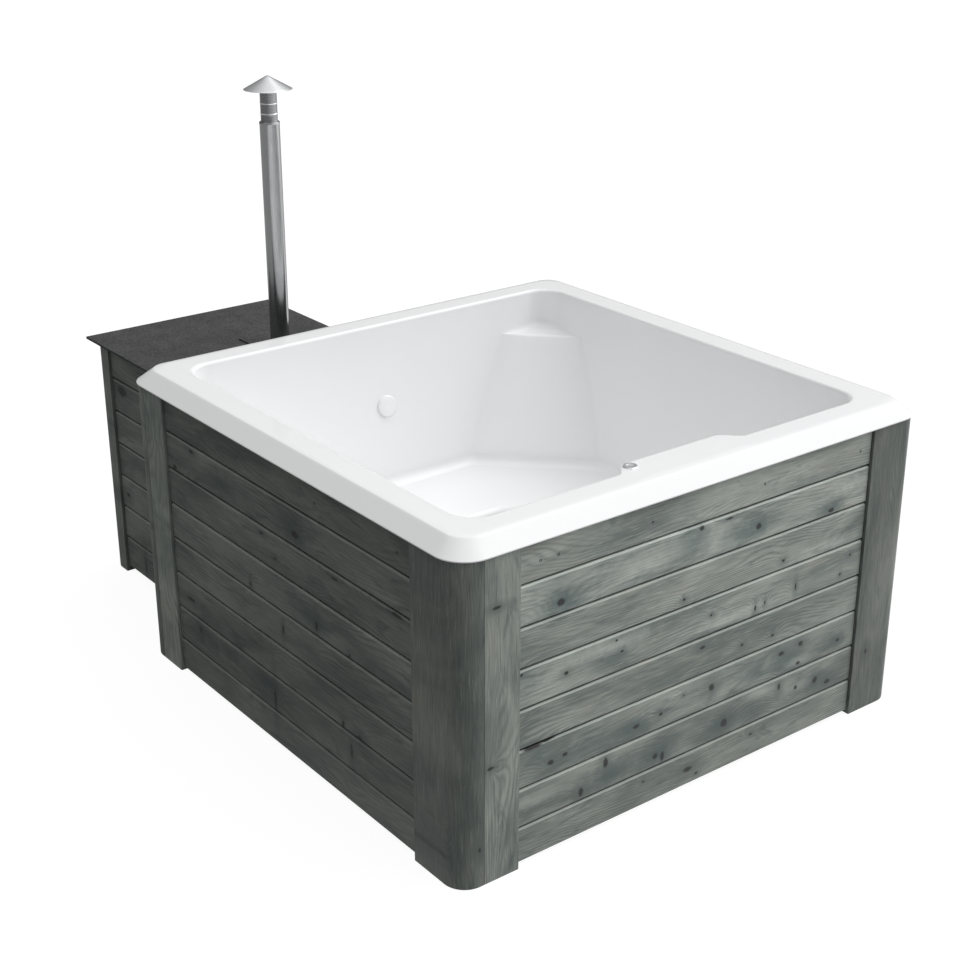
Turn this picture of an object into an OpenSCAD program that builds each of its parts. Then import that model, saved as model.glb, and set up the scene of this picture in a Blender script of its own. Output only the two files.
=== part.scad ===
// Square wood-clad hot tub with a moulded acrylic basin and a wood-fired heater in a cabinet behind it.
// Millimetres. The origin is on the floor under the middle of the tub, +Z is up, the front faces -Y
// and the heater cabinet stands on the +Y side.

/* [Tub] */
// Width of the square tub over its corner posts
tub_w = 1720; // [1640:10:1800]
// Height of the flat rim above the floor
rim_z = 1000; // [970:5:1040]
// Thickness of the moulded shell
shell_t = 8; // [6:1:10]

/* [Rim] */
// How far the lip stands out past the corner posts
lip_out = 9; // [4:1:16]
// Drop from the flat rim to the lip's lower edge
lip_drop = 43; // [34:1:52]
// Distance from the posts' face in to the crease of the bevel
crease_in = 39; // [30:1:50]
// Distance from the posts' face in to the mouth of the basin
mouth_in = 125; // [116:1:134]
// Corner radius of the lip's lower edge
lip_r = 92; // [70:1:110]
// Corner radius of the crease
crease_r = 60; // [45:1:70]
// Corner radius of the mouth
mouth_r = 84; // [60:1:100]
// Rounding where the flat rim turns down into the basin
mouth_round = 10; // [6:1:14]

/* [Basin] */
// How far each wall leans in between the mouth and the seat
wall_lean = 95; // [70:1:110]
// Height of the seat where it meets the walls
seat_z = 453; // [430:1:470]
// Radius of the cove between wall and seat
cove_r = 37; // [28:1:60]
// Fall of the seat towards the footwell
seat_fall = 14; // [6:1:20]
// Width of the footwell at the seat
footwell_w = 560; // [500:5:620]
// Height of the footwell's floor
footwell_z = 150; // [140:1:170]
// How far each footwell wall leans in
footwell_lean = 12; // [6:1:16]
// Rounding of the footwell's upper edge
footwell_round = 24; // [16:1:30]
// Radius of the cove round the footwell's floor
footwell_cove = 60; // [40:1:70]

/* [Backrest] */
// Drop from the rim to the shelf on top of the corner backrest
shelf_drop = 134; // [118:1:150]
// Radius of the cove between that shelf and the walls behind it
shelf_cove = 26; // [16:1:34]
// Distance from the mouth's square corner to the backrest at the shelf
rest_cut_top = 150; // [138:1:168]
// Distance from the mouth's square corner to the backrest just above the seat
rest_cut_foot = 360; // [348:1:375]

/* [Console] */
// Width of the console ledge where it leaves the rim
console_w = 478; // [420:2:520]
// How far the console stands into the basin
console_out = 52; // [40:1:58]
// Length of each curved end of the console
console_curve = 68; // [50:1:80]
// Distance from the console's middle to the push button
button_x = 174; // [120:1:180]
// Distance from the posts' face to the push button
button_in = 143; // [140:1:144]
// Radius of the chrome ring round the button
ring_r = 21; // [18:0.5:24]
// Radius of the push button
button_r = 12.5; // [10:0.5:14]
// Travel of the push button
button_travel = 3; // [2:0.5:4]

/* [Water fittings] */
// Height of the round inlet cover on the back wall
inlet_z = 719; // [690:1:740]
// Radius of the round inlet cover
inlet_r = 37.5; // [34:0.5:42]
// Height of the outlet grid in the footwell
outlet_z = 250; // [235:1:270]
// Radius of the fittings' tails
tail_r = 19; // [17:0.5:20]
// Wall thickness of the fittings and stubs
tail_t = 3; // [2:0.5:4]
// Wall thickness of the water hoses
hose_t = 4.5; // [3.5:0.5:5]
// Bend radius of the water hoses
hose_bend = 40; // [38:1:42]
// How far the hoses run sideways behind the basin's wall
hose_shift = 120; // [100:1:140]

/* [Drain] */
// Sideways place of the drain in the footwell's floor
drain_x = 125; // [110:1:140]
// Radius of the drain's flange in the floor
drain_flange_r = 42; // [38:1:46]
// Outer radius of the drain pipe
drain_pipe_r = 25; // [23:0.5:27]
// Height of the drain pipe's axis
drain_pipe_z = 80; // [78:1:90]
// Outer radius of the drain valve's threaded outlet
drain_outlet_r = 23.9; // [20:0.1:25]

/* [Boards] */
// Height step from one cladding board to the next
board_pitch = 120; // [112:1:124]
// Open groove between two boards
board_gap = 4; // [2:0.5:6]
// Thickness of the cladding boards
board_t = 28; // [24:1:34]
// How far the boards lie behind the face of the corner posts
board_inset = 9; // [4:1:14]
// Chamfer along the boards' outer edges
board_chamfer = 5; // [1:0.5:6]
// Gap under the lowest board
floor_gap = 10; // [6:1:20]
// Gap between the ends of the boards and the posts
end_gap = 3; // [1:0.5:5]

/* [Corner posts] */
// Width of a corner post along its broad face
post_w = 202; // [190:1:215]
// Thickness of a corner post
post_t = 82; // [76:1:90]
// Radius of a corner post's rounded edge
post_r = 68; // [50:1:74]
// Width of the flat board beside each corner post
side_board_w = 117; // [105:1:125]

/* [Frame] */
// Section of the square studs and rails
stud_w = 45; // [38:1:50]
// Height of the base ring's flat bearers
bearer_h = 45; // [38:1:48]
// Height of the rails under the rim
rail_h = 90; // [70:1:95]
// Distance of the inner studs from the middle of a side
inner_stud_x = 211; // [195:1:230]
// Gap between the outer studs and the corner posts
stud_gap = 35.5; // [20:0.5:50]

/* [Heater cabinet] */
// Width of the cabinet over its posts
cab_w = 720; // [690:5:760]
// Sideways place of the cabinet's middle
cab_x = -302; // [-312:1:-292]
// How far the cabinet reaches behind the tub's posts
cab_d = 692; // [670:1:720]
// Height of the cabinet under its top plate
cab_h = 865; // [850:1:880]
// Height step of the cabinet's boards
cab_pitch = 122.5; // [118:0.5:124]
// Height at which the cabinet's row of boards starts
cab_row_z = 17.5; // [11:0.5:24]
// Width of the cabinet's corner posts
cab_post_w = 104; // [94:1:115]
// Radius of the cabinet posts' rounded edge
cab_post_r = 60; // [40:1:70]
// Thickness of the top plate
plate_t = 8; // [6:1:12]
// How far the top plate stands out at the sides
plate_side = 13; // [6:1:20]
// How far the top plate stands out at the back
plate_back = 34; // [24:1:44]
// Length of the narrow slot cut into the top plate
slot_l = 90; // [60:5:110]
// Width of the slot
slot_w = 10; // [6:1:14]
// Distance from the flue sideways to the slot
slot_side = 79; // [70:1:90]
// How far the slot reaches behind the flue
slot_back = 154; // [140:1:170]
// Gap between the top plate and the tub's corner posts
plate_gap = 2; // [1:1:6]

/* [Flue] */
// Sideways place of the flue
flue_x = -183; // [-190:1:-176]
// Distance of the flue behind the tub's posts
flue_back = 217; // [205:1:230]
// Outer radius of the lower flue pipe
flue_r = 33.5; // [31:0.5:36]
// Outer radius of the upper flue pipe
upper_flue_r = 28; // [26:0.5:29]
// Wall thickness of the flue pipes
flue_t = 1.5; // [1.5:0.1:2]
// Height of the top of the lower flue pipe
flue_top_z = 1651; // [1600:5:1700]
// How far the upper flue pipe stands out of the lower one
upper_flue_h = 112; // [100:1:130]
// Radius of the rain cap's brim
cap_r = 81; // [74:1:90]
// Height of the rain cap's cone
cap_h = 44; // [36:1:54]
// Radius of the collar on the top plate
collar_r = 44; // [41:1:50]

/* [Stove] */
// Width of the stove's water shell
stove_w = 440; // [410:5:460]
// Depth of the stove's water shell
stove_d = 520; // [500:5:540]
// Height of the stove's water shell
stove_h = 670; // [640:5:690]
// Height of the stove's feet
feet_h = 100; // [90:1:110]
// Sideways place of the stove's middle
stove_x = -286; // [-296:1:-276]
// Gap between the tub's boards and the stove
stove_gap = 90; // [75:1:100]
// Thickness of the stove's sheet metal
sheet_t = 4; // [3:0.5:5]
// Width of the water jacket round the firebox
jacket_w = 42; // [34:1:50]
// Clear width of the stove's door opening
throat_w = 280; // [250:5:300]
// Clear height of the stove's door opening
throat_h = 270; // [240:5:290]
// Height of the bottom of the stove's door opening
throat_z = 290; // [280:1:300]
// Height of the ash drawer
drawer_h = 56; // [48:1:62]
// How far the door opens
door_swing = 110; // [90:5:120]

/* [Hidden] */
$fn = 64;

// Clearances
fit = 0.08;       // radial, where one round part slides into another
free = 0.5;       // between parts that only lie close together
seat_gap = 1;     // under the rim, over posts and boards

half = tub_w / 2;
board_face = half - board_inset;
board_back = board_face - board_t;
stud_out = board_back;
stud_in = stud_out - stud_w;
lip_z = rim_z - lip_drop;
post_top = lip_z - seat_gap;

// Colours
white = [0.93, 0.94, 0.95];
wood = [0.40, 0.43, 0.41];
wood_dark = [0.33, 0.36, 0.35];
timber = [0.72, 0.60, 0.42];
steel = [0.70, 0.71, 0.73];
iron = [0.16, 0.16, 0.17];
slate = [0.24, 0.24, 0.25];
rubber = [0.10, 0.10, 0.11];
plastic = [0.55, 0.57, 0.60];

// ---------------------------------------------------------------- basin

// Half-widths of the level lines that shape the basin
mouth = half - mouth_in;
wall_foot = mouth - wall_lean;
seat_edge = wall_foot - cove_r;
well = footwell_w / 2;
well_foot = well - footwell_lean;
shelf_z = rim_z - shelf_drop;
rest_top = sqrt(2) * mouth - rest_cut_top;
rest_foot = sqrt(2) * mouth - rest_cut_foot;
lean_top = rim_z - mouth_round - 5;
lean_foot = seat_z + cove_r;

// Half-width and slope of the walls at a height: upright at the top, leaning more further down
function lean_part(z) = min(1, max(0, (lean_top - z) / (lean_top - lean_foot)));
function wall_w(z) = mouth - wall_lean * pow(lean_part(z), 1.5);
function wall_tilt(z) = atan(1.5 * wall_lean * sqrt(lean_part(z)) / (lean_top - lean_foot));
well_top = seat_z - seat_fall - footwell_round;
well_low = footwell_z + footwell_cove;
function well_part(z) = (well_top - z) / (well_top - well_low);
function well_wall_w(z) = well - footwell_lean * well_part(z);
well_tilt = atan(footwell_lean / (well_top - well_low));

// Distance of the backrest's slanted plane from the middle, at a height
function rest_d(z) = rest_foot + (rest_top - rest_foot) * (z - lean_foot) / (shelf_z - lean_foot);
foot_to_edge = wall_foot - seat_edge;
edge_to_well = seat_edge - well;

// Levels of the inner surface from the rim down to the footwell's floor, each one
// [height, half-width, corner radius, distance of the backrest's front, reach of the console,
// share of the backrest: 0 above its shelf, 1 below; reach of the shelf's cove]
function arc_steps(n) = [for (i = [0:n]) 90 * i / n];
function fade(z) = max(0, min(1, (z - seat_z - 200) / (rim_z - mouth_round - seat_z - 200)));
rim_levels = [
    [lip_z, half + lip_out, lip_r, rest_top, 0, 0],
    [lip_z + 3, half + lip_out, lip_r, rest_top, 0, 0],
    [rim_z - 2, half - crease_in + 2, crease_r + 2, rest_top, 0, 0],
    [rim_z, half - crease_in - 2, crease_r - 2, rest_top, 0, 0]];
mouth_levels = [for (a = arc_steps(3))
    [rim_z - mouth_round * (1 - cos(a)), mouth + mouth_round * (1 - sin(a)), mouth_r, rest_top,
    console_out, 0]];
wall_z = [for (i = [1:3]) lean_top - (lean_top - shelf_z - shelf_cove - 8) * i / 3];
wall_levels = [for (z = wall_z) [z, wall_w(z), mouth_r, rest_top, console_out * fade(z), 0]];
shelf_step = [[shelf_cove, 0, 0], [0.5 * shelf_cove, 0, 0.134 * shelf_cove],
    [0.134 * shelf_cove, 0, 0.5 * shelf_cove], [0.5, 0.03, 0.95 * shelf_cove],
    [-0.5, 0.9, shelf_cove], [-2.5, 0.96, shelf_cove], [-8, 1, shelf_cove]];
shelf_levels = [for (s = shelf_step) let (z = shelf_z + s[0])
    [z, wall_w(z), mouth_r, rest_top, console_out * fade(z), s[1], s[2]]];
rest_z = [for (i = [1:6]) shelf_z - 8 - (shelf_z - 8 - lean_foot) * i / 6];
rest_levels = [for (z = rest_z) [z, wall_w(z), mouth_r + 10, rest_d(z), console_out * fade(z), 1]];
cove_levels = [for (i = [1:4]) let (a = 22.5 * i)
    [seat_z + cove_r * (1 - sin(a)), wall_foot - cove_r * (1 - cos(a)), mouth_r + 10 + 5 * i,
    rest_foot - foot_to_edge * (1 - cos(a)), 0, 1]];
rest_edge = rest_foot - foot_to_edge;
rest_well = rest_edge - edge_to_well;
seat_levels = [for (t = [0.06, 0.5, 0.88])
    [seat_z - seat_fall * t, seat_edge - edge_to_well * t, mouth_r + 30, rest_edge - edge_to_well * t, 0, 1]];
edge_levels = [for (a = [15, 45, 75])
    [seat_z - seat_fall - footwell_round * (1 - cos(a)), well + footwell_round * (1 - sin(a)),
    mouth_r + 20, rest_well + footwell_round * (1 - sin(a)), 0, 1]];
well_levels = [for (z = [well_top, (well_top + well_low) / 2, well_low])
    [z, well_wall_w(z), mouth_r + 14, rest_well - footwell_lean * well_part(z), 0, 1]];
floor_levels = [for (a = [30, 60, 90])
    [footwell_z + footwell_cove * (1 - sin(a)), well_foot - footwell_cove * (1 - cos(a)),
    mouth_r, rest_well - footwell_lean - footwell_cove * (1 - cos(a)), 0, 1]];
inner_levels = concat(rim_levels, mouth_levels, wall_levels, shelf_levels, rest_levels, cove_levels,
    seat_levels, edge_levels, well_levels, floor_levels);

// The outer surface follows the inner one a shell's thickness away, from the floor back up to the lip
function under(s) = [s[0] - shell_t, s[1] + shell_t, s[2] + shell_t, s[3] + shell_t, s[4], s[5], s[6]];
outer_below = [for (s = concat([for (i = [0, 1, 3]) mouth_levels[i]], [wall_levels[1]], shelf_levels,
    [rest_levels[1]], [rest_levels[3]], [rest_levels[5]], [cove_levels[1]], [cove_levels[3]],
    [seat_levels[1]], edge_levels, [well_levels[0]], [well_levels[2]], floor_levels)) under(s)];
outer_rim = [
    [lip_z, half + lip_out - shell_t, lip_r - shell_t, rest_top, 0, 0],
    [rim_z - shell_t, half - crease_in - 4, crease_r - 4, rest_top, 0, 0]];
levels = concat(
    [for (i = [len(outer_below) - 1:-1:0]) outer_below[i]],
    [outer_rim[1], outer_rim[0]],
    inner_levels);

// Directions in which each level line is sampled outside the back right corner, closer together
// at the other corners and the curved ends of the console
corner_a = 45 - atan((mouth - mouth_r) / mouth) + 1;
side_a = 20;
curve_a1 = atan((console_w / 2 - console_curve) / mouth) - 1;
curve_a2 = atan(console_w / 2 / mouth) + 1;
function span(a, b, n) = [for (i = [0:n - 1]) a + (b - a) * i / n];
angles = concat(
    span(90 - side_a + 6, 135 - corner_a, 3), span(135 - corner_a, 135 + corner_a, 8),
    span(135 + corner_a, 225 - corner_a, 5), span(225 - corner_a, 225 + corner_a, 8),
    span(225 + corner_a, 270 - curve_a2, 3), span(270 - curve_a2, 270 - curve_a1, 6),
    span(270 - curve_a1, 270 + curve_a1, 5), span(270 + curve_a1, 270 + curve_a2, 6),
    span(270 + curve_a2, 315 - corner_a, 3), span(315 - corner_a, 315 + corner_a, 8),
    span(315 + corner_a, 360 + side_a - 2, 4));

// Distance from the middle to a rounded square, in a direction
function reach(a, w, r) =
    let (c = max(abs(cos(a)), abs(sin(a))), s = min(abs(cos(a)), abs(sin(a))), k = w - r)
    w * s / c <= k ? w / c : k * (c + s) + sqrt(r * r - pow(k * (c - s), 2));

// The back right corner is drawn as [s, t]: s out along the basin's diagonal, t across it.
// The wall there is the rounded square; the backrest is a plane across it, at right angles to s.
function wall_point(t, w, r) =
    [abs(t) <= r / sqrt(2) ? sqrt(2) * (w - r) + sqrt(r * r - t * t) : sqrt(2) * w - abs(t), t];
function bend(a, b, c, n) = [for (i = [0:n]) let (q = i / n)
    a * (1 - q) * (1 - q) + b * 2 * q * (1 - q) + c * q * q];
rest_fillet = 24;
// Half the width of the backrest at its shelf
shelf_half = sqrt(2) * wall_w(shelf_z) - rest_top;
face_steps = 7;
bend_steps = 4;
corner_steps = face_steps + bend_steps;
// Half of the line where a level cuts the backrest, from its middle to the wall beside it
function rest_line(s) =
    let (n = sqrt(2) * s[1] - s[3], turn = [s[3], n], f = rest_fillet)
    concat([for (i = [0:face_steps - 1]) [s[3], (n - f) * i / face_steps]],
        bend([s[3], n - f], turn, turn + [-f, f] / sqrt(2), bend_steps));
// The same for the wall's own line above the shelf, which the cove fills towards the corner
function wall_line(s, end) = [for (i = [0:corner_steps]) let (q = i / corner_steps, t = end * q)
    wall_point(t, s[1], s[2]) - [s[6] == undef ? 0 : s[6] * (1 - q * q), 0]];
function corner_half(s) =
    let (share = s[5], line = rest_line(s),
        end = share > 0 ? line[corner_steps][1] : shelf_half + rest_fillet / sqrt(2),
        wall = wall_line(s, end),
        last = [s[1] * (1 + tan(side_a)), s[1] * (1 - tan(side_a))] / sqrt(2),
        body = [for (i = [0:corner_steps]) share > 0 ? line[i] * share + wall[i] * (1 - share) : wall[i]])
    concat(body, [for (q = [1:3]) body[corner_steps] + (last - body[corner_steps]) * q / 3]);
function turned(p, z) = [(p[0] + p[1]) / sqrt(2), (p[0] - p[1]) / sqrt(2), z];
function corner_points(s) =
    let (h = corner_half(s), n = len(h) - 1)
    concat([for (i = [n:-1:0]) turned(h[i], s[0])], [for (i = [1:n]) turned([h[i][0], -h[i][1]], s[0])]);

// Share of the console's reach at a distance from its middle: full, then an S-shaped end
function console_part(x) =
    let (t = (console_w / 2 - abs(x)) / console_curve)
    t >= 1 ? 1 : t <= 0 ? 0 : (1 - cos(180 * t)) / 2;
function level_point(a, s) =
    let (q = reach(a, s[1], s[2]), x = q * cos(a), y = q * sin(a))
    [x, y < 0 && s[4] > 0 ? y + s[4] * console_part(x) : y, s[0]];

function level_line(s) = concat(corner_points(s), [for (a = angles) level_point(a, s)]);

module basin_shell() {
    lines = [for (s = levels) level_line(s)];
    n = len(lines[0]);
    m = len(levels);
    points = [for (line = lines) each line];
    walls = [for (j = [0:m - 2]) for (i = [0:n - 1])
        let (a = j * n + i, b = j * n + (i + 1) % n)
        each [[a, a + n, b], [b, a + n, b + n]]];
    caps = [[for (i = [0:n - 1]) i], [for (i = [n - 1:-1:0]) (m - 1) * n + i]];
    polyhedron(points, concat(walls, caps), convexity = 8);
}

// Places of the fittings on the basin's walls; each one's own +Y points out through the wall
inlet_y = wall_w(inlet_z);
inlet_tilt = wall_tilt(inlet_z);
outlet_y = well_wall_w(outlet_z);
module at_inlet() translate([0, inlet_y, inlet_z]) rotate([-inlet_tilt, 0, 0]) children();
module at_outlet() translate([0, outlet_y, outlet_z]) rotate([-well_tilt, 0, 0]) children();
module along_y(y) translate([0, y, 0]) rotate([-90, 0, 0]) children();
module at_button() translate([-button_x, button_in - half, rim_z]) children();
stem_r = ring_r - 7;

hole_l = 15 * shell_t;

module basin() color(white) difference() {
    basin_shell();
    at_inlet() along_y(-hole_l / 2) cylinder(r = tail_r + free, h = hole_l);
    at_outlet() along_y(-hole_l / 2) cylinder(r = tail_r + free, h = hole_l);
    at_button() translate([0, 0, -shell_t - 20]) cylinder(r = stem_r + free, h = shell_t + 40);
    translate([drain_x, 0, footwell_z - shell_t - 20]) cylinder(r = drain_pipe_r + 6 + free, h = 60);
}

// ---------------------------------------------------------------- button

button_seat = 4;
module button_ring() color(steel) at_button() difference() {
    rotate_extrude() polygon([[0, -shell_t - 16], [stem_r, -shell_t - 16], [stem_r, 0], [ring_r, 0],
        [ring_r, 1.5], [ring_r - 2, 4], [0, 4]]);
    translate([0, 0, -button_travel - button_seat]) cylinder(r = button_r + fit, h = 40);
}
module push_button() color([0.86, 0.87, 0.88]) at_button()
    rotate_extrude() polygon([[0, -button_seat + free], [button_r, -button_seat + free],
        [button_r, 1.6], [button_r - 1.2, 2.6], [button_r - 4, 2.2], [0, 1.8]]);
// Twelve-sided nut with a narrow collar that bears on the console from below, clear of its curved edge
module button_nut() color(plastic) at_button() translate([0, 0, -shell_t - 12]) difference() {
    union() {
        cylinder(r = stem_r + 3.5, h = 10.5, $fn = 12);
        cylinder(r = stem_r + 2, h = 11.2);
    }
    translate([0, 0, -1]) cylinder(r = stem_r + fit, h = 20);
}

// ---------------------------------------------------------------- water fittings

cover_h = 12;
module inlet_cover() color(white) at_inlet() along_y(-cover_h) difference() {
    rotate_extrude() polygon([[0, 0.8], [inlet_r - 12, 0.4], [inlet_r - 5, 1.2], [inlet_r - 1.5, 4],
        [inlet_r, 8], [inlet_r, cover_h - free], [0, cover_h - free]]);
    translate([0, 0, 3]) cylinder(r = tail_r + fit, h = cover_h);
}
// Thickness of the tilted wall as a fitting passes through it, and the fittings' lengths behind it
function skin(tilt) = shell_t * (cos(tilt) + sin(tilt));
tail_l = 46;
module through_fitting(flange_r, head) along_y(-head) difference() {
    union() {
        cylinder(r = tail_r, h = head + tail_l);
        if (flange_r > tail_r) cylinder(r = flange_r, h = head - fit);
    }
    translate([0, 0, -1]) cylinder(r = tail_r - tail_t, h = head + tail_l + 2);
}
module inlet_fitting() color(plastic) at_inlet() through_fitting(0, 8);
module outlet_fitting() color(plastic) at_outlet() through_fitting(inlet_r, 5);
module outlet_grid() color(steel) at_outlet() along_y(-10) difference() {
    rotate_extrude() polygon([[0, 0], [inlet_r - 6, 0], [inlet_r, 3], [inlet_r, 5 - fit], [0, 5 - fit]]);
    for (k = [-3:3]) translate([-24 + abs(k) * 2, k * 8 - 2, -1]) cube([48 - abs(k) * 4, 4, 8]);
}
module fitting_nuts() color(plastic) {
    at_inlet() along_y(skin(inlet_tilt) + 1) wall_nut();
    at_outlet() along_y(skin(well_tilt) + 1) wall_nut();
}
module wall_nut() difference() {
    cylinder(r = tail_r + 11, h = 11, $fn = 8);
    translate([0, 0, -1]) cylinder(r = tail_r + fit, h = 20);
}

// ---------------------------------------------------------------- drain

drain_bottom = drain_pipe_z - drain_pipe_r - 6;
module drain_strainer() color(steel) translate([drain_x, 0, footwell_z + 4 + fit]) difference() {
    rotate_extrude() polygon([[0, 0], [drain_flange_r - 6, 0], [drain_flange_r - 7, 1.5], [0, 4]]);
    for (a = [0:45:315]) rotate(a) translate([16, 0, -1]) cylinder(r = 4.5, h = 8);
}
module drain_body() color(plastic) translate([drain_x, 0, 0]) difference() {
    union() {
        translate([0, 0, footwell_z]) cylinder(r = drain_flange_r, h = 4);
        translate([0, 0, drain_bottom]) cylinder(r = drain_pipe_r + 6, h = footwell_z - drain_bottom);
        translate([0, 0, drain_pipe_z]) along_y(0) cylinder(r = drain_pipe_r + 6, h = drain_pipe_r + 26);
    }
    translate([0, 0, drain_bottom + 8]) cylinder(r = drain_pipe_r - 2, h = footwell_z);
    translate([0, 0, drain_pipe_z]) along_y(0) cylinder(r = drain_pipe_r - 3, h = 4 * drain_pipe_r);
    translate([0, 0, drain_pipe_z]) along_y(drain_pipe_r + 8)
        cylinder(r = drain_pipe_r + fit, h = 4 * drain_pipe_r);
}
valve_y = board_face + 6;
module drain_pipe() color(plastic) translate([drain_x, 0, drain_pipe_z])
    along_y(drain_pipe_r + 8) difference() {
        cylinder(r = drain_pipe_r, h = valve_y + 12 - drain_pipe_r - 8);
        translate([0, 0, -1]) cylinder(r = drain_pipe_r - 3, h = tub_w);
    }
ball_r = drain_pipe_r + 12;
outlet_l = 25;
valve_l = 92;
valve_stem_r = 6;
lever_l = 2 * ball_r;
module drain_valve() color(iron) translate([drain_x, 0, drain_pipe_z]) difference() {
    union() {
        along_y(valve_y) cylinder(r = drain_pipe_r + 16, h = 6);
        along_y(valve_y) cylinder(r = drain_pipe_r + 6, h = valve_l - outlet_l);
        translate([0, valve_y + 38, 0]) sphere(r = ball_r);
        along_y(valve_y) cylinder(r = drain_outlet_r, h = valve_l);
        translate([0, valve_y + 38, 0]) cylinder(r = 12, h = ball_r + 8);
        translate([0, valve_y + 38, 0]) cylinder(r = valve_stem_r, h = ball_r + 18);
    }
    along_y(valve_y - 1) cylinder(r = drain_pipe_r + fit, h = 13 + fit);
    along_y(valve_y) cylinder(r = drain_outlet_r - 5, h = valve_l + 2);
}
// Lever across the pipe when the valve is shut
module drain_valve_lever() color([0.72, 0.12, 0.10])
    translate([drain_x, valve_y + 38, drain_pipe_z + ball_r + 8 + free]) difference() {
        union() {
            cylinder(r = 13, h = 5);
            translate([0, -8, 0]) cube([lever_l, 16, 5]);
            translate([lever_l, 0, 0]) cylinder(r = 8, h = 5);
        }
        translate([0, 0, -1]) cylinder(r = valve_stem_r + fit, h = 10);
    }

// ---------------------------------------------------------------- frame of the tub

module four_sides() for (k = [0:3]) rotate(90 * k) children();
module base_ring() color(timber) four_sides()
    translate([-half + post_t + 1, -stud_out, 0])
        cube([tub_w - post_t - post_w - 2, 2 * stud_w, bearer_h]);
// Joists under the footwell, from one side of the base ring to the other
joist_l = 2 * (stud_out - 2 * stud_w - free);
joist_x = well - 2 * stud_w;
module footwell_bearers() color(timber) for (x = [-joist_x, 0, joist_x])
    translate([x - stud_w / 2, -joist_l / 2, 0]) cube([stud_w, joist_l, footwell_z - shell_t]);
outer_stud_x = half - post_w - stud_gap - stud_w / 2;
stud_x0 = [post_t + 1 - half, -outer_stud_x - stud_w / 2, -inner_stud_x - stud_w / 2,
    inner_stud_x - stud_w / 2, outer_stud_x - stud_w / 2];
module studs() color(timber) four_sides() for (x = stud_x0)
    translate([x, -stud_out, bearer_h]) cube([stud_w, stud_w, post_top - bearer_h]);
// Rails that carry the flat rim, between the studs and the basin
rail_in = mouth + shell_t + mouth_round + 1;
rail_t = stud_in - rail_in;
module top_rails() color(timber) four_sides()
    translate([-stud_in, -stud_in, rim_z - shell_t - rail_h])
        cube([2 * stud_in - rail_t - free, rail_t, rail_h]);

// ---------------------------------------------------------------- boards

// One board's section, outside edge at x = 0, with chamfers, a tongue on top and a groove below
module board_section(h, tongue, groove) {
    c = board_chamfer;
    difference() {
        union() {
            polygon([[0, c], [c, 0], [board_t, 0], [board_t, h], [c, h], [0, h - c]]);
            if (tongue) translate([board_t / 2 - 3, h - 1]) square([6, board_gap + 6]);
        }
        if (groove) translate([board_t / 2 - 3.5, -1]) square([7, 9]);
    }
}
// A row of boards along +X, outside face at y = 0 looking to -Y
module board_row(length, row_z, pitch, top) {
    n = ceil((top - row_z - board_gap) / pitch);
    for (k = [0:n - 1]) {
        z0 = max(floor_gap, row_z + k * pitch + board_gap / 2);
        z1 = min(top, row_z + (k + 1) * pitch - board_gap / 2);
        translate([0, 0, z0]) rotate([90, 0, 90])
            linear_extrude(length) board_section(z1 - z0, k < n - 1, k > 0);
    }
}
board_x0 = -half + post_t + side_board_w + end_gap;
board_l = tub_w - post_t - side_board_w - post_w - 2 * end_gap;
module tub_boards() translate([board_x0, -board_face, 0]) board_row(board_l, 0, board_pitch, post_top);
module boards_front() color(wood) tub_boards();
module boards_left() color(wood_dark) rotate(-90) tub_boards();
module boards_right() color(wood) rotate(90) tub_boards();
hose_hole_r = tail_r + hose_t + 8;
module boards_back() color(wood) difference() {
    rotate(180) tub_boards();
    for (z = [warm_z, cold_z]) translate([-hose_shift, board_back - 10, z]) along_y(0)
        cylinder(r = hose_hole_r, h = board_t + 20);
    translate([drain_x, board_back - 10, drain_pipe_z]) along_y(0)
        cylinder(r = drain_pipe_r + 2, h = board_t + 20);
}

// ---------------------------------------------------------------- corner posts

// A post's section with its outer corner at the origin, broad along +Y, outer edge rounded
module post_section(width, thick, r) intersection() {
    square([thick, width]);
    union() {
        translate([r, 0]) square([thick, width]);
        translate([0, r]) square([thick, width]);
        translate([r, r]) circle(r = r, $fn = 96);
    }
}
module corner_posts() color(wood) four_sides() translate([-half, -half, 0])
    linear_extrude(post_top) post_section(post_w, post_t, post_r);
module corner_side_boards() color(wood) four_sides() translate([-half + post_t + 1, -half, 0])
    linear_extrude(post_top) polygon([[0, 1], [1, 0], [side_board_w - 3, 0], [side_board_w - 1, 2],
        [side_board_w - 1, board_inset + board_t], [0, board_inset + board_t]]);

// ---------------------------------------------------------------- heater cabinet

cab_left = cab_x - cab_w / 2;
cab_right = cab_x + cab_w / 2;
cab_back = half + cab_d;
cab_front = board_face + 2;
cab_post_t = min(cab_post_w, cab_post_r + 30);
cab_top = cab_h - seat_gap;
cab_in = board_inset + board_t;
module cab_post(side) translate([side < 0 ? cab_left : cab_right, cab_back, 0])
    mirror([side < 0 ? 0 : 1, 0, 0]) mirror([0, 1, 0]) linear_extrude(cab_top)
        post_section(cab_post_w, cab_post_w, cab_post_r);
module cabinet_post_left() color(wood_dark) cab_post(-1);
module cabinet_post_right() color(wood_dark) cab_post(1);
cab_side_l = cab_back - cab_post_w - cab_front - end_gap;
cab_back_l = cab_w - 2 * cab_post_w - 2 * end_gap;
module cabinet_boards_left() color(wood_dark)
    translate([cab_left + board_inset, cab_back - cab_post_w - end_gap, 0]) rotate(-90)
        board_row(cab_side_l, cab_row_z, cab_pitch, cab_top);
module cabinet_boards_right() color(wood_dark) translate([cab_right - board_inset, cab_front, 0])
    rotate(90) board_row(cab_side_l, cab_row_z, cab_pitch, cab_top);
frame_w = throat_w + 104;
frame_z0 = throat_z - drawer_h - 62;
frame_z1 = throat_z + throat_h + 36;
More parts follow.
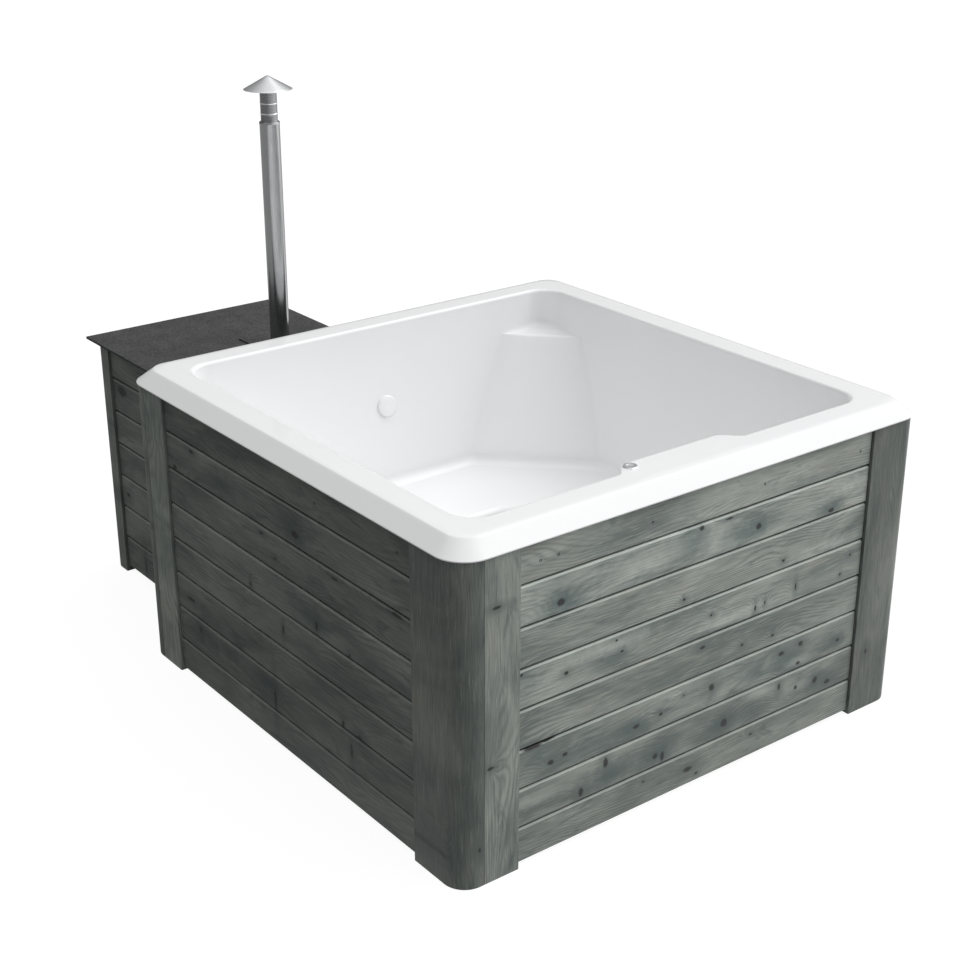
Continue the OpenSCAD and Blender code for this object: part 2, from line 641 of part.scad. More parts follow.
module cabinet_boards_back() color(wood_dark) difference() {
    translate([cab_right - cab_post_w - end_gap, cab_back - board_inset, 0])
        rotate(180) board_row(cab_back_l, cab_row_z, cab_pitch, cab_top);
    translate([stove_x - frame_w / 2 + 12, cab_back - 100, frame_z0 + 12])
        cube([frame_w - 24, 200, frame_z1 - frame_z0 - 24]);
}
// Corner legs and rails of the cabinet, inside the boards
leg_y = [cab_front + 2, cab_back - cab_post_w - stud_w];
leg_x = [cab_left + cab_in, cab_right - cab_in - stud_w];
module cabinet_frame() color(timber) {
    for (y = leg_y) for (x = leg_x) translate([x, y, 0]) cube([stud_w, stud_w, cab_top]);
    for (x = leg_x) translate([x, leg_y[0] + stud_w + free, cab_top - stud_w])
        cube([stud_w, leg_y[1] - leg_y[0] - stud_w - 2 * free, stud_w]);
    for (z = [floor_gap, cab_top - stud_w])
        translate([cab_left + cab_post_w + 1, cab_back - cab_in - stud_w, z])
            cube([cab_w - 2 * cab_post_w - 2, stud_w, stud_w]);
}

flue_y = half + flue_back;
plate_x0 = cab_left - plate_side;
plate_w = cab_w + 2 * plate_side;
plate_y0 = half + plate_gap;
module top_plate() color(slate) difference() {
    translate([plate_x0, plate_y0, cab_h]) cube([plate_w, cab_back + plate_back - plate_y0, plate_t]);
    translate([flue_x, flue_y, cab_h - 1]) cylinder(r = flue_r + 3, h = plate_t + 2);
    for (y = [0, slot_w - slot_l]) slot_part() translate([0, y, 0]) cylinder(r = slot_w / 2, h = plate_t + 2);
    slot_part() translate([-slot_w / 2, slot_w - slot_l, 0]) cube([slot_w, slot_l - slot_w, plate_t + 2]);
}
module slot_part() translate([flue_x - slot_side, flue_y + slot_back - slot_w / 2, cab_h - 1]) children();
module flue_collar() color(iron) translate([flue_x, flue_y, cab_h + plate_t]) rotate_extrude()
    polygon([[flue_r + free, 0], [collar_r, 0], [collar_r, 2], [flue_r + 3, 2.5], [flue_r + 2, 8],
        [flue_r + free, 8]]);

// ---------------------------------------------------------------- stove

stove_y0 = half + stove_gap;
stove_y1 = stove_y0 + stove_d;
stove_top = feet_h + stove_h;
fire_x0 = stove_x - stove_w / 2 + jacket_w;
fire_w = stove_w - 2 * jacket_w;
fire_y0 = stove_y0 + jacket_w;
fire_z0 = throat_z - 14;
fire_z1 = stove_top - jacket_w - 30;
neck_y1 = cab_back + 2;
ash_w = throat_w - 20;
ash_z0 = fire_z0 - drawer_h - 12;
stub_l = 46;
stub_x = -hose_shift;
lead_l = tail_l + 4;
hose_reach = lead_l + hose_bend;
warm_y = inlet_y + cos(inlet_tilt) * hose_reach;
warm_z = inlet_z - sin(inlet_tilt) * hose_reach;
cold_y = outlet_y + cos(well_tilt) * hose_reach;
cold_z = outlet_z - sin(well_tilt) * hose_reach;
// A stub's frame: on the stove's face towards the tub, own +Y into the stove
module at_stub(z) translate([stub_x, stove_y0, z]) children();

module stove_shell() color(steel) difference() {
    union() {
        translate([stove_x - stove_w / 2, stove_y0, feet_h]) cube([stove_w, stove_d, stove_h]);
        for (z = [warm_z, cold_z]) at_stub(z) along_y(-stub_l) cylinder(r = tail_r, h = stub_l + sheet_t);
        translate([flue_x, flue_y, stove_top - sheet_t]) cylinder(r = flue_r - flue_t - fit, h = 46);
    }
    translate([stove_x - stove_w / 2 + sheet_t, stove_y0 + sheet_t, feet_h + sheet_t])
        cube([stove_w - 2 * sheet_t, stove_d - 2 * sheet_t, stove_h - 2 * sheet_t]);
    for (z = [warm_z, cold_z]) at_stub(z) along_y(-stub_l - 1) cylinder(r = tail_r - tail_t, h = stub_l + 20);
    translate([flue_x, flue_y, stove_top - 20]) cylinder(r = flue_r - flue_t - fit - 2, h = 80);
    throat_block(throat_w + 2 * sheet_t + 2 * fit, throat_z - sheet_t - fit,
        throat_h + 2 * sheet_t + 2 * fit, stove_y1 - 30, 60);
    throat_block(ash_w + 2 * sheet_t + 2 * fit, ash_z0 - sheet_t - fit,
        fire_z0 - ash_z0 + sheet_t + 2 * fit, stove_y1 - 30, 60);
}
module throat_block(w, z, h, y, l) translate([stove_x - w / 2, y, z]) cube([w, l, h]);

module firebox() color(iron) difference() {
    union() {
        translate([fire_x0, fire_y0, fire_z0 - sheet_t])
            cube([fire_w, stove_y1 - jacket_w - fire_y0, fire_z1 - fire_z0 + 2 * sheet_t]);
        throat_block(throat_w + 2 * sheet_t, throat_z - sheet_t, throat_h + 2 * sheet_t,
            stove_y1 - jacket_w - sheet_t, neck_y1 - stove_y1 + jacket_w + sheet_t);
        throat_block(ash_w + 2 * sheet_t, ash_z0 - sheet_t, fire_z0 - ash_z0 + sheet_t,
            fire_y0 + 40, neck_y1 - fire_y0 - 40);
        translate([flue_x, flue_y, fire_z1]) cylinder(r = flue_r - flue_t - 4, h = stove_top - fire_z1 + 40);
    }
    translate([fire_x0 + sheet_t, fire_y0 + sheet_t, fire_z0])
        cube([fire_w - 2 * sheet_t, stove_y1 - jacket_w - fire_y0 - 2 * sheet_t, fire_z1 - fire_z0]);
    throat_block(throat_w, throat_z, throat_h, stove_y1 - jacket_w - 60, stove_d);
    throat_block(ash_w, ash_z0, drawer_h, fire_y0 + 40 + sheet_t, 2 * stove_d);
    throat_block(ash_w - 60, ash_z0, fire_z0 - ash_z0 + 20, fire_y0 + 70, stove_d / 2);
    translate([flue_x, flue_y, fire_z1 - 20]) cylinder(r = flue_r - flue_t - 7, h = stove_top);
}
module stove_feet() color(iron) for (x = [-1, 1]) for (y = [stove_y0 + 40, stove_y1 - 40])
    translate([stove_x + x * (stove_w / 2 - 40), y, 0]) {
        cylinder(r = 28, h = 4);
        cylinder(r = 16, h = feet_h);
    }
// Cast slab with slots, lying on the firebox floor over the ash opening
grate_l = 300;
module grate() color(iron) translate([stove_x, fire_y0 + 50, fire_z0 + fit]) difference() {
    translate([-ash_w / 2 + 10, 0, 0]) cube([ash_w - 20, grate_l, 10]);
    for (k = [0:6]) translate([-ash_w / 2 + 40, 32 + k * 36, -1]) cube([ash_w - 80, 14, 20]);
}
drawer_w = ash_w - 8;
drawer_y0 = fire_y0 + 40 + sheet_t + 10;
front_y = neck_y1 + 8;
module ash_drawer() color(iron) translate([stove_x, 0, ash_z0 + 1]) {
    difference() {
        translate([-drawer_w / 2, drawer_y0, 0]) cube([drawer_w, front_y - drawer_y0, drawer_h - 8]);
        translate([-drawer_w / 2 + 2, drawer_y0 + 2, 2])
            cube([drawer_w - 4, front_y - drawer_y0 - 4, drawer_h]);
    }
    translate([-ash_w / 2 - 8, front_y, -6]) cube([ash_w + 16, 4, drawer_h + 8]);
    for (x = [-1, 1]) translate([x * 40, front_y + 3, drawer_h / 2 - 4]) along_y(0) cylinder(r = 4, h = 12);
    translate([-50, front_y + 14, drawer_h / 2 - 8]) cube([100, 6, 8]);
}
frame_y = cab_back - board_inset + free;
frame_t = 6;
// Flat frame screwed on the boards round the two stove openings
module door_frame() color(iron) difference() {
    translate([stove_x - frame_w / 2, frame_y, frame_z0]) cube([frame_w, frame_t, frame_z1 - frame_z0]);
    throat_block(throat_w + 2 * sheet_t + 1, throat_z - sheet_t - free,
        throat_h + 2 * sheet_t + 1, cab_back - 60, 120);
    throat_block(ash_w + 2 * sheet_t + 1, ash_z0 - sheet_t - free, fire_z0 - ash_z0 + sheet_t + 1,
        cab_back - 60, 120);
}
// Bent strip on the frame that the latch's cam turns in behind
module latch_keeper() color(iron) translate([latch_x, frame_y + frame_t, latch_z - 8]) {
    translate([cam_l + 1.5, 0, 0]) cube([3, door_y - frame_y - frame_t, 16]);
    translate([10, door_y - frame_y - frame_t - 2, 0]) cube([cam_l - 5.5, 2, 16]);
}

// Door on the back face: hinge on the left as seen from the tub, latch on the other side
door_y = neck_y1 + 5;
door_t = 8;
door_over = 30;
hinge_r = 5;
hinge_x = stove_x - throat_w / 2 - door_over - 10;
hinge_y = door_y + 3;
hinge_z = [throat_z + 30, throat_z + throat_h - 62];
knuckle_l = 32;
latch_x = stove_x + throat_w / 2 + door_over - 8;
latch_z = throat_z + throat_h / 2;
latch_r = 5;
cam_l = 20;
cam_y = -6.5;
module stove_door() color(iron) difference() {
    union() {
        translate([stove_x - throat_w / 2 - door_over, door_y, throat_z - 14])
            cube([throat_w + 2 * door_over, door_t, throat_h + 28]);
        translate([stove_x - throat_w / 2 + 30, door_y + door_t - 1, throat_z + 26])
            cube([throat_w - 60, 4, throat_h - 52]);
        for (z = hinge_z) {
            translate([hinge_x, hinge_y, z]) cylinder(r = hinge_r + 4, h = knuckle_l);
            translate([hinge_x, door_y + 1, z]) cube([14, door_t - 3, knuckle_l]);
        }
    }
    for (z = hinge_z) translate([hinge_x, hinge_y, z - 1]) cylinder(r = hinge_r + fit / 2, h = knuckle_l + 2);
    translate([latch_x, door_y - 1, latch_z]) along_y(0) cylinder(r = latch_r + fit / 2, h = 40);
}
module door_seal() color(rubber) difference() {
    translate([stove_x - throat_w / 2 - 12, neck_y1 + 0.5, throat_z - 11])
        cube([throat_w + 24, 4, throat_h + 22]);
    throat_block(throat_w + 4, throat_z - 2, throat_h + 4, cab_back - 40, 100);
}
module hinge_pins() color(steel) for (z = hinge_z) {
    translate([hinge_x, hinge_y, z - 16]) cylinder(r = hinge_r, h = knuckle_l + 22);
    translate([hinge_x, hinge_y, z - 16]) cylinder(r = hinge_r + 4, h = 15);
    translate([hinge_x - 9, frame_y + frame_t, z - 16]) cube([18, hinge_y - frame_y - frame_t, 15]);
}
// Spindle through the door, a hanging cam behind it, and an arm with a round grip in front of it
module door_latch() color(steel) translate([latch_x, door_y, latch_z]) {
    along_y(cam_y) cylinder(r = latch_r, h = door_t + 6 - cam_y);
    translate([-4, cam_y, -cam_l]) cube([8, 4, cam_l]);
    along_y(door_t + free) cylinder(r = 11, h = 8);
    translate([-66, door_t + 4, -6]) cube([66, 5, 12]);
    translate([-110, door_t + 10, 0]) rotate([0, 90, 0]) cylinder(r = 6, h = 52);
}

// ---------------------------------------------------------------- hoses

hose_in = tail_r + fit;
hose_out = hose_in + hose_t;
hose_start = tail_l - 22;
// Straight out from the wall fitting, one bend to the left, one bend back, then over the stove's stub
module hose_path(r, over, y0, z0, tilt, y1, z1) {
    translate([0, y0, z0]) rotate([-tilt, 0, 0]) {
        along_y(hose_start - over) cylinder(r = r, h = lead_l - hose_start + over);
        translate([-hose_bend, lead_l, 0]) rotate_extrude(angle = 90) translate([hose_bend, 0]) circle(r = r);
    }
    translate([-hose_bend, y1, z1]) rotate([0, -90, 0]) cylinder(r = r, h = hose_shift - 2 * hose_bend);
    translate([hose_bend - hose_shift, y1 + hose_bend, z1]) rotate(180) rotate_extrude(angle = 90)
        translate([hose_bend, 0]) circle(r = r);
    translate([-hose_shift, 0, z1]) along_y(y1 + hose_bend)
        cylinder(r = r, h = stove_y0 - 6 - y1 - hose_bend + over);
}
module warm_hose() color(rubber) difference() {
    hose_path(hose_out, 0, inlet_y, inlet_z, inlet_tilt, warm_y, warm_z);
    hose_path(hose_in, 1, inlet_y, inlet_z, inlet_tilt, warm_y, warm_z);
}
module cold_hose() color(rubber) difference() {
    hose_path(hose_out, 0, outlet_y, outlet_z, well_tilt, cold_y, cold_z);
    hose_path(hose_in, 1, outlet_y, outlet_z, well_tilt, cold_y, cold_z);
}
module clamp() difference() {
    union() {
        cylinder(r = hose_out + 1.4, h = 11);
        translate([-6, hose_out - 1, 1]) cube([12, 9, 9]);
    }
    translate([0, 0, -1]) cylinder(r = hose_out + fit / 2, h = 14);
}
module hose_clamps() color(steel) {
    at_inlet() along_y(hose_start + 5) clamp();
    at_outlet() along_y(hose_start + 5) clamp();
    for (z = [warm_z, cold_z]) at_stub(z) along_y(-30) clamp();
}

// ---------------------------------------------------------------- flue

module lower_flue() color(steel) translate([flue_x, flue_y, stove_top + free]) {
    l = flue_top_z - stove_top - free;
    rotate_extrude() polygon([[flue_r - flue_t, 0], [flue_r, 0], [flue_r, l - 9], [flue_r + 1.2, l - 7],
        [flue_r + 1.2, l - 2], [flue_r, l], [flue_r - flue_t, l]]);
}
upper_z0 = flue_top_z - 50;
upper_top = flue_top_z + upper_flue_h;
bead_z = [flue_top_z + 27, flue_top_z + 61];
module bead(z) translate([0, 0, z]) rotate_extrude()
    polygon([[upper_flue_r - 0.5, -3], [upper_flue_r + 1, -1.5], [upper_flue_r + 1, 1.5],
        [upper_flue_r - 0.5, 3]]);
module upper_flue() color(steel) translate([flue_x, flue_y, 0]) {
    translate([0, 0, upper_z0]) rotate_extrude()
        polygon([[upper_flue_r - flue_t, 0], [flue_r - flue_t - fit, 0], [flue_r - flue_t - fit, 44],
            [upper_flue_r, 52], [upper_flue_r, upper_top - upper_z0],
            [upper_flue_r - flue_t, upper_top - upper_z0]]);
    for (z = bead_z) bead(z);
}
cap_z = upper_top - 6;
module rain_cap() color(steel) translate([flue_x, flue_y, cap_z]) {
    rotate_extrude() polygon([[0, cap_h], [4, cap_h - 0.6], [cap_r - 1, 0.8], [cap_r, 0], [cap_r - 3, 0],
        [4, cap_h - 3.2], [0, cap_h - 2.6]]);
    for (a = [30, 150, 270]) rotate(a)
        translate([upper_flue_r - flue_t - 3.4, -6, -24]) cube([2.4, 12, 24 + cap_h * 0.69]);
}

// ---------------------------------------------------------------- all nodes

basin();
button_ring();
push_button();
button_nut();
inlet_cover();
inlet_fitting();
outlet_grid();
outlet_fitting();
fitting_nuts();
drain_strainer();
drain_body();
drain_pipe();
drain_valve();
drain_valve_lever();
base_ring();
footwell_bearers();
studs();
top_rails();
boards_front();
boards_left();
boards_right();
boards_back();
corner_posts();
corner_side_boards();
cabinet_frame();
cabinet_boards_left();
cabinet_boards_right();
cabinet_boards_back();
cabinet_post_left();
cabinet_post_right();
top_plate();
flue_collar();
stove_shell();
firebox();
stove_feet();
door_frame();
latch_keeper();
stove_door();
door_seal();
hinge_pins();
door_latch();
grate();
ash_drawer();
warm_hose();
cold_hose();
hose_clamps();
lower_flue();
upper_flue();
rain_cap();
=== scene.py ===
"""Looks of the square wood-clad hot tub: materials, fine basin, screw heads, light and camera.

The part's frame in metres: origin on the floor under the middle of the tub, x right, y to the heater
cabinet, z up. The fine basin is worked out in millimetres.
"""

import math

import bmesh
import bpy
from mathutils import Matrix, Vector

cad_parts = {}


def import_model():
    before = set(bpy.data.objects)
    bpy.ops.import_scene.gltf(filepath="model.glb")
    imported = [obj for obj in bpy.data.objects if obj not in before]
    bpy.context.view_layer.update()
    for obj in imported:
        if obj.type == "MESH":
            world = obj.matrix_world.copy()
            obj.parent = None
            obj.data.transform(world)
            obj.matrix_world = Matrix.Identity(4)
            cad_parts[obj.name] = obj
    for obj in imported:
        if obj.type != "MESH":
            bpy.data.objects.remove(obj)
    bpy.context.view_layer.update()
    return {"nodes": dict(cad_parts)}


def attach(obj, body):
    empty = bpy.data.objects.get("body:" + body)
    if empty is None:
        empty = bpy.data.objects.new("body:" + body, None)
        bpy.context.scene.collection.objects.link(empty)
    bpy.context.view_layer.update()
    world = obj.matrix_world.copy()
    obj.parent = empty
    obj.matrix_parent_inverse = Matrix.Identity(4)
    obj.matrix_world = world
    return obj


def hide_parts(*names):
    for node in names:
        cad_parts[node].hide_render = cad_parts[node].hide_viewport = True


MM = 0.001
WHITE = (1.0, 1.0, 1.0, 1.0)
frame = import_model()
nodes = frame["nodes"]

# ---------------------------------------------------------------- node tree helpers


class Tree:
    """The node tree of a material or world, with short calls to add and join nodes."""

    def __init__(self, owner):
        owner.use_nodes = True
        self.owner = owner
        self.nt = owner.node_tree
        self.bsdf = self.nt.nodes.get("Principled BSDF")
        self.coord = None

    def add(self, kind, **props):
        node = self.nt.nodes.new(kind)
        for key, value in props.items():
            setattr(node, key, value)
        return node

    def put(self, socket, value):
        if isinstance(value, bpy.types.NodeSocket):
            self.nt.links.new(value, socket)
        else:
            socket.default_value = value

    def position(self):
        if self.coord is None:
            self.coord = self.add("ShaderNodeTexCoord")
        return self.coord.outputs["Object"]

    def math(self, op, a, b=0.0, c=None, clamp=False):
        node = self.add("ShaderNodeMath", operation=op, use_clamp=clamp)
        self.put(node.inputs[0], a)
        self.put(node.inputs[1], b)
        if c is not None:
            self.put(node.inputs[2], c)
        return node.outputs[0]

    def vmath(self, op, a, b=(0, 0, 0)):
        node = self.add("ShaderNodeVectorMath", operation=op)
        self.put(node.inputs[0], a)
        self.put(node.inputs[1], b)
        return node.outputs[1 if op in ("LENGTH", "DISTANCE", "DOT_PRODUCT") else 0]

    def split(self, vector):
        node = self.add("ShaderNodeSeparateXYZ")
        self.put(node.inputs[0], vector)
        return node.outputs

    def join(self, x, y, z):
        node = self.add("ShaderNodeCombineXYZ")
        for socket, value in zip(node.inputs, (x, y, z)):
            self.put(socket, value)
        return node.outputs[0]

    def noise(self, vector, scale, detail=2.0, rough=0.5, distortion=0.0, color=False):
        node = self.add("ShaderNodeTexNoise")
        self.put(node.inputs["Vector"], vector)
        node.inputs["Scale"].default_value = scale
        node.inputs["Detail"].default_value = detail
        node.inputs["Roughness"].default_value = rough
        node.inputs["Distortion"].default_value = distortion
        return node.outputs["Color" if color else "Fac"]

    def ramp(self, value, *stops):
        """Maps a value through colour stops (position, grey or rgb)."""
        node = self.add("ShaderNodeValToRGB")
        self.put(node.inputs[0], value)
        ramp = node.color_ramp
        while len(ramp.elements) < len(stops):
            ramp.elements.new(0.5)
        for element, (at, color) in zip(ramp.elements, stops):
            element.position = at
            rgb = (color,) * 3 if isinstance(color, (int, float)) else color
            element.color = (*rgb, 1.0)
        return node.outputs[0]

    def mix(self, factor, a, b, blend="MIX"):
        node = self.add("ShaderNodeMix", data_type="RGBA", blend_type=blend)
        self.put(node.inputs[0], factor)
        for socket, value in ((node.inputs[6], a), (node.inputs[7], b)):
            self.put(socket, value if isinstance(value, bpy.types.NodeSocket) else (*value, 1.0))
        return node.outputs[2]

    def bump(self, height, distance, strength=1.0, normal=None):
        node = self.add("ShaderNodeBump")
        node.inputs["Distance"].default_value = distance
        node.inputs["Strength"].default_value = strength
        self.put(node.inputs["Height"], height)
        if normal is not None:
            self.put(node.inputs["Normal"], normal)
        return node.outputs[0]

    def finish(self, color=None, rough=None, normal=None, **values):
        if color is not None:
            color = color if isinstance(color, bpy.types.NodeSocket) else (*color, 1.0)
            self.put(self.bsdf.inputs["Base Color"], color)
        if rough is not None:
            self.put(self.bsdf.inputs["Roughness"], rough)
        if normal is not None:
            self.put(self.bsdf.inputs["Normal"], normal)
        for key, value in values.items():
            self.bsdf.inputs[key].default_value = value
        return self.owner


def material_tree(name):
    return Tree(bpy.data.materials.new(name))


def srgb(*rgb):
    """Linear colour from 0..255 screen values."""
    return tuple((v / 255 / 12.92) if v <= 10 else ((v / 255 + 0.055) / 1.055) ** 2.4 for v in rgb)


# ---------------------------------------------------------------- materials


# Stained wood: screen colours of its tones, and repeats a metre along, across and into a board
BODY_DARK, BODY_LIGHT = (106, 113, 109), (154, 159, 153)
WARM_PATCH, COLD_PATCH = (156, 154, 144), (88, 99, 97)
RING_LINE, FIBRE, STREAK_DARK, STREAK_LIGHT = (76, 83, 82), (104, 109, 104), (66, 73, 72), (186, 190, 184)
KNOT_HALO, KNOT_CORE, STAIN, PALE = (80, 88, 86), (26, 25, 24), (70, 82, 82), (182, 186, 180)
# painted highlight on the boards' upper chamfers, and painted shade in the grooves between boards
CHAMFER_HIGHLIGHT, GROOVE_SHADE = (176, 181, 175), (34, 37, 36)
DRIFT_SCALE, FINE_SCALE = (1.3, 5.0, 5.0), (9.0, 60.0, 60.0)
FIBRE_SCALE, STREAK_SCALE = (14.0, 420.0, 420.0), (10.0, 210.0, 210.0)
PATCH_SCALE, WARM_SCALE, FAINT_SCALE = (2.4, 7.0, 1.0), (3.7, 15.0, 1.0), (1.7, 9.0, 1.0)
RINGS = 640.0
RANDOM_CELLS = (3.2, 8.0, 0.0)
SPOT_GROWTH = 800.0  # a listed spot is drawn 1000 / 800 of its listed size


def wood(name, axis, seed, pitch=0.0, row_z=0.0, painted_side_light=1.0, spread=0.32, climb=0.0,
         knots=(), stains=(), pale=()):
    """Stained spruce with grain along axis; each board differs by its number.

    pitch and row_z: height of a row of boards, and where the rows start; without them each corner's
    piece is a board. knots, stains and pale patches: (place along the board, height, half-length,
    half-height) in millimetres; without a list of knots they fall at random. spread is how much the
    boards differ in brightness, climb how much brighter they get from the bottom up. The side's own
    brightness factor is painted light and shade: above 1 it paints a lit side lighter, below 1 a
    shaded side darker. With rows, a light strip on each board's upper chamfer is a painted
    highlight, and the grooves and the chamfers under the boards are darkened as painted shade.
    """
    t = material_tree(name)
    x, y, z = t.split(t.position())
    along, across, deep = {"x": (x, z, y), "y": (y, z, x), "z": (z, x, y)}[axis]
    if pitch:
        row = t.math("DIVIDE", t.math("SUBTRACT", z, row_z), pitch)
        number = t.math("FLOOR", row)
    else:
        number = t.math("ADD", t.math("MULTIPLY", t.math("SIGN", x), 3.0), t.math("SIGN", y))
    white = t.add("ShaderNodeTexWhiteNoise", noise_dimensions="1D")
    t.put(white.inputs["W"], t.math("ADD", number, seed * 13.0))
    shift = t.vmath("MULTIPLY", white.outputs["Color"], (9.0, 3.0, 5.0))
    p = t.vmath("ADD", t.join(along, across, deep), shift)
    wobble = t.noise(p, 42.0, 3.0, 0.6)

    def grain(repeats, *noise):
        return t.noise(t.vmath("MULTIPLY", p, repeats), *noise)

    def nearest(spots):
        """Distance to the nearest listed spot, about 1 at its edge, with a ragged outline."""
        face = t.join(y if axis == "y" else x, z, 0.0)
        best = None
        for place, height, half_length, half_height in spots:
            away = t.vmath("SUBTRACT", face, (place * MM, height * MM, 0.0))
            away = t.vmath("MULTIPLY", away, (SPOT_GROWTH / half_length, SPOT_GROWTH / half_height, 0.0))
            away = t.vmath("LENGTH", away)
            best = away if best is None else t.math("MINIMUM", best, away)
        return t.math("MULTIPLY_ADD", t.math("SUBTRACT", wobble, 0.5), 0.9, best)

    if knots:
        near = nearest(knots)
        has_knot = 1.0
    else:
        # a few cells get a knot, each with its own size
        cell = t.add("ShaderNodeTexVoronoi", voronoi_dimensions="2D", feature="F1")
        cell.inputs["Scale"].default_value = 1.0
        cell.inputs["Randomness"].default_value = 0.9
        spot = t.vmath("MULTIPLY", p, RANDOM_CELLS)
        t.put(cell.inputs["Vector"], spot)
        pick = t.split(cell.outputs["Color"])
        has_knot = t.math("GREATER_THAN", pick[0], 0.56)
        away = t.vmath("SUBTRACT", spot, cell.outputs["Position"])
        away = t.vmath("MULTIPLY", away, (0.62 / RANDOM_CELLS[0], 1.0 / RANDOM_CELLS[1], 0.0))
        size = t.math("MULTIPLY_ADD", pick[1], 0.010, 0.0045)
        near = t.math("DIVIDE", t.math("MULTIPLY_ADD", wobble, 0.006, t.vmath("LENGTH", away)), size)
    core = t.math("MULTIPLY", t.ramp(near, (0.55, 1.0), (1.0, 0.0)), has_knot)
    halo = t.math("MULTIPLY", t.ramp(t.math("DIVIDE", near, 4.0), (0.15, 1.0), (1.0, 0.0)), has_knot)

    # growth rings: lines that run along the board, wander, and bend round the knots
    push = t.math("MULTIPLY", t.math("EXPONENT", t.math("MULTIPLY", near, -0.35)), has_knot)
    ring = t.math("MULTIPLY_ADD", grain(DRIFT_SCALE, 1.0, 2.0), 0.22, t.split(p)[1])
    ring = t.math("ADD", ring, t.math("MULTIPLY", push, 0.05))
    phase = t.math("MULTIPLY_ADD", grain(FINE_SCALE, 1.0, 3.0), 2.6, t.math("MULTIPLY", ring, RINGS))
    lines = t.math("POWER", t.math("MULTIPLY_ADD", t.math("SINE", phase), 0.5, 0.5), 1.8)
    fibre = grain(FIBRE_SCALE, 1.0, 4.0, 0.6)
    streak = grain(STREAK_SCALE, 1.0, 4.0, 0.7, 0.3)
    patch = grain(PATCH_SCALE, 1.0, 3.0, 0.55, 0.6)
    warmth = grain(WARM_SCALE, 1.3, 3.0, 0.6, 1.0)
    faint = t.ramp(grain(FAINT_SCALE, 1.0, 2.0), (0.40, 0.25), (0.62, 1.0))

    base = t.mix(t.ramp(patch, (0.36, 0.0), (0.66, 1.0)), srgb(*BODY_DARK), srgb(*BODY_LIGHT))
    base = t.mix(t.ramp(warmth, (0.55, 0.0), (0.74, 0.5)), base, srgb(*WARM_PATCH))
    base = t.mix(t.ramp(warmth, (0.28, 0.8), (0.44, 0.0)), base, srgb(*COLD_PATCH))
    base = t.mix(t.math("MULTIPLY", t.math("MULTIPLY", lines, faint), 0.5), base, srgb(*RING_LINE))
    base = t.mix(t.math("MULTIPLY", fibre, 0.30), base, srgb(*FIBRE), "MULTIPLY")
    base = t.mix(t.ramp(streak, (0.30, 0.5), (0.47, 0.0)), base, srgb(*STREAK_DARK))
    base = t.mix(t.ramp(streak, (0.56, 0.0), (0.74, 0.42)), base, srgb(*STREAK_LIGHT))
    base = t.mix(t.math("MULTIPLY", halo, 0.62), base, srgb(*KNOT_HALO))
    if stains:
        far = t.ramp(nearest(stains), (0.1, 1.0), (1.15, 0.0))
        base = t.mix(t.math("MULTIPLY", far, 0.72), base, srgb(*STAIN))
    if pale:
        far = t.ramp(nearest(pale), (0.1, 1.0), (1.2, 0.0))
        base = t.mix(t.math("MULTIPLY", far, 0.38), base, srgb(*PALE))
    if pitch:
        #         painted highlight: a light strip on each board's upper chamfer, where it faces up to the
        #             light
        part = t.math("FRACT", row)
        below = t.ramp(part, (0.936, 0.0), (0.946, 0.40))
        above = t.ramp(part, (0.972, 1.0), (0.984, 0.0))
        base = t.mix(t.math("MULTIPLY", below, above), base, srgb(*CHAMFER_HIGHLIGHT))
    # painted light and shade: the side's brightness factor scales all its boards, up on lit sides, down on
    # shaded ones
    shade = t.math("MULTIPLY_ADD", white.outputs["Value"], spread * painted_side_light, (0.96 - spread / 2) * painted_side_light)
    shade = t.math("MULTIPLY", shade, t.math("MULTIPLY_ADD", z, climb, 1.0 - climb * 0.48))
    base = t.mix(1.0, base, t.join(shade, shade, shade), "MULTIPLY")
    base = t.mix(t.math("MULTIPLY", core, 0.94), base, srgb(*KNOT_CORE))
    if pitch:
        # painted shade in the grooves between boards and on the downward chamfer at each board's foot
        low = t.ramp(part, (0.038, 0.85), (0.052, 0.0))
        high = t.ramp(part, (0.982, 0.0), (0.99, 0.85))
        base = t.mix(t.math("MAXIMUM", low, high), base, srgb(*GROOVE_SHADE))
    height = t.math("ADD", t.math("MULTIPLY", lines, 0.35), t.math("MULTIPLY", fibre, 0.65))
    rough = t.math("MULTIPLY_ADD", fibre, 0.2, 0.50)
    return t.finish(base, rough, t.bump(height, 0.0007, 0.55), **{"Specular IOR Level": 0.35})


# Knots, stains and pale patches of the sides that show, in millimetres: place along the side, height,
# half-length, half-height
KNOTS_FRONT = (
    (-523, 755, 13, 11), (-80, 626, 5, 4), (-325, 580, 5, 4), (-304, 541, 6, 4), (-500, 541, 7, 5),
    (-549, 286, 11, 7), (-498, 292, 9, 5), (-438, 149, 8, 15), (-351, 209, 8, 16), (-31, 63, 18, 8),
    (5, 36, 6, 4), (-242, 283, 13, 6), (-148, 289, 8, 5), (-62, 319, 4, 3), (-205, 90, 5, 3),
    (-26, 826, 9, 8), (198, 770, 10, 9), (502, 737, 14, 7), (81, 826, 14, 3), (606, 564, 5, 4),
    (374, 528, 4, 11), (208, 509, 4, 9), (30, 543, 4, 3), (568, 510, 4, 4), (290, 395, 6, 4),
    (163, 405, 6, 5), (3, 450, 9, 5), (417, 327, 10, 9), (334, 319, 12, 8), (412, 262, 9, 6),
    (49, 305, 11, 12), (495, 175, 10, 11), (552, 151, 12, 7), (409, 179, 8, 7), (336, 208, 6, 11),
    (108, 166, 12, 14), (-164, 157, 10, 9), (-136, 147, 8, 14), (313, 630, 7, 5), (247, 515, 3, 6),
    (-651, 586, 6, 5), (-610, 356, 34, 6), (-560, 359, 30, 4), (585, 283, 8, 5), (226, 85, 6, 4),
)
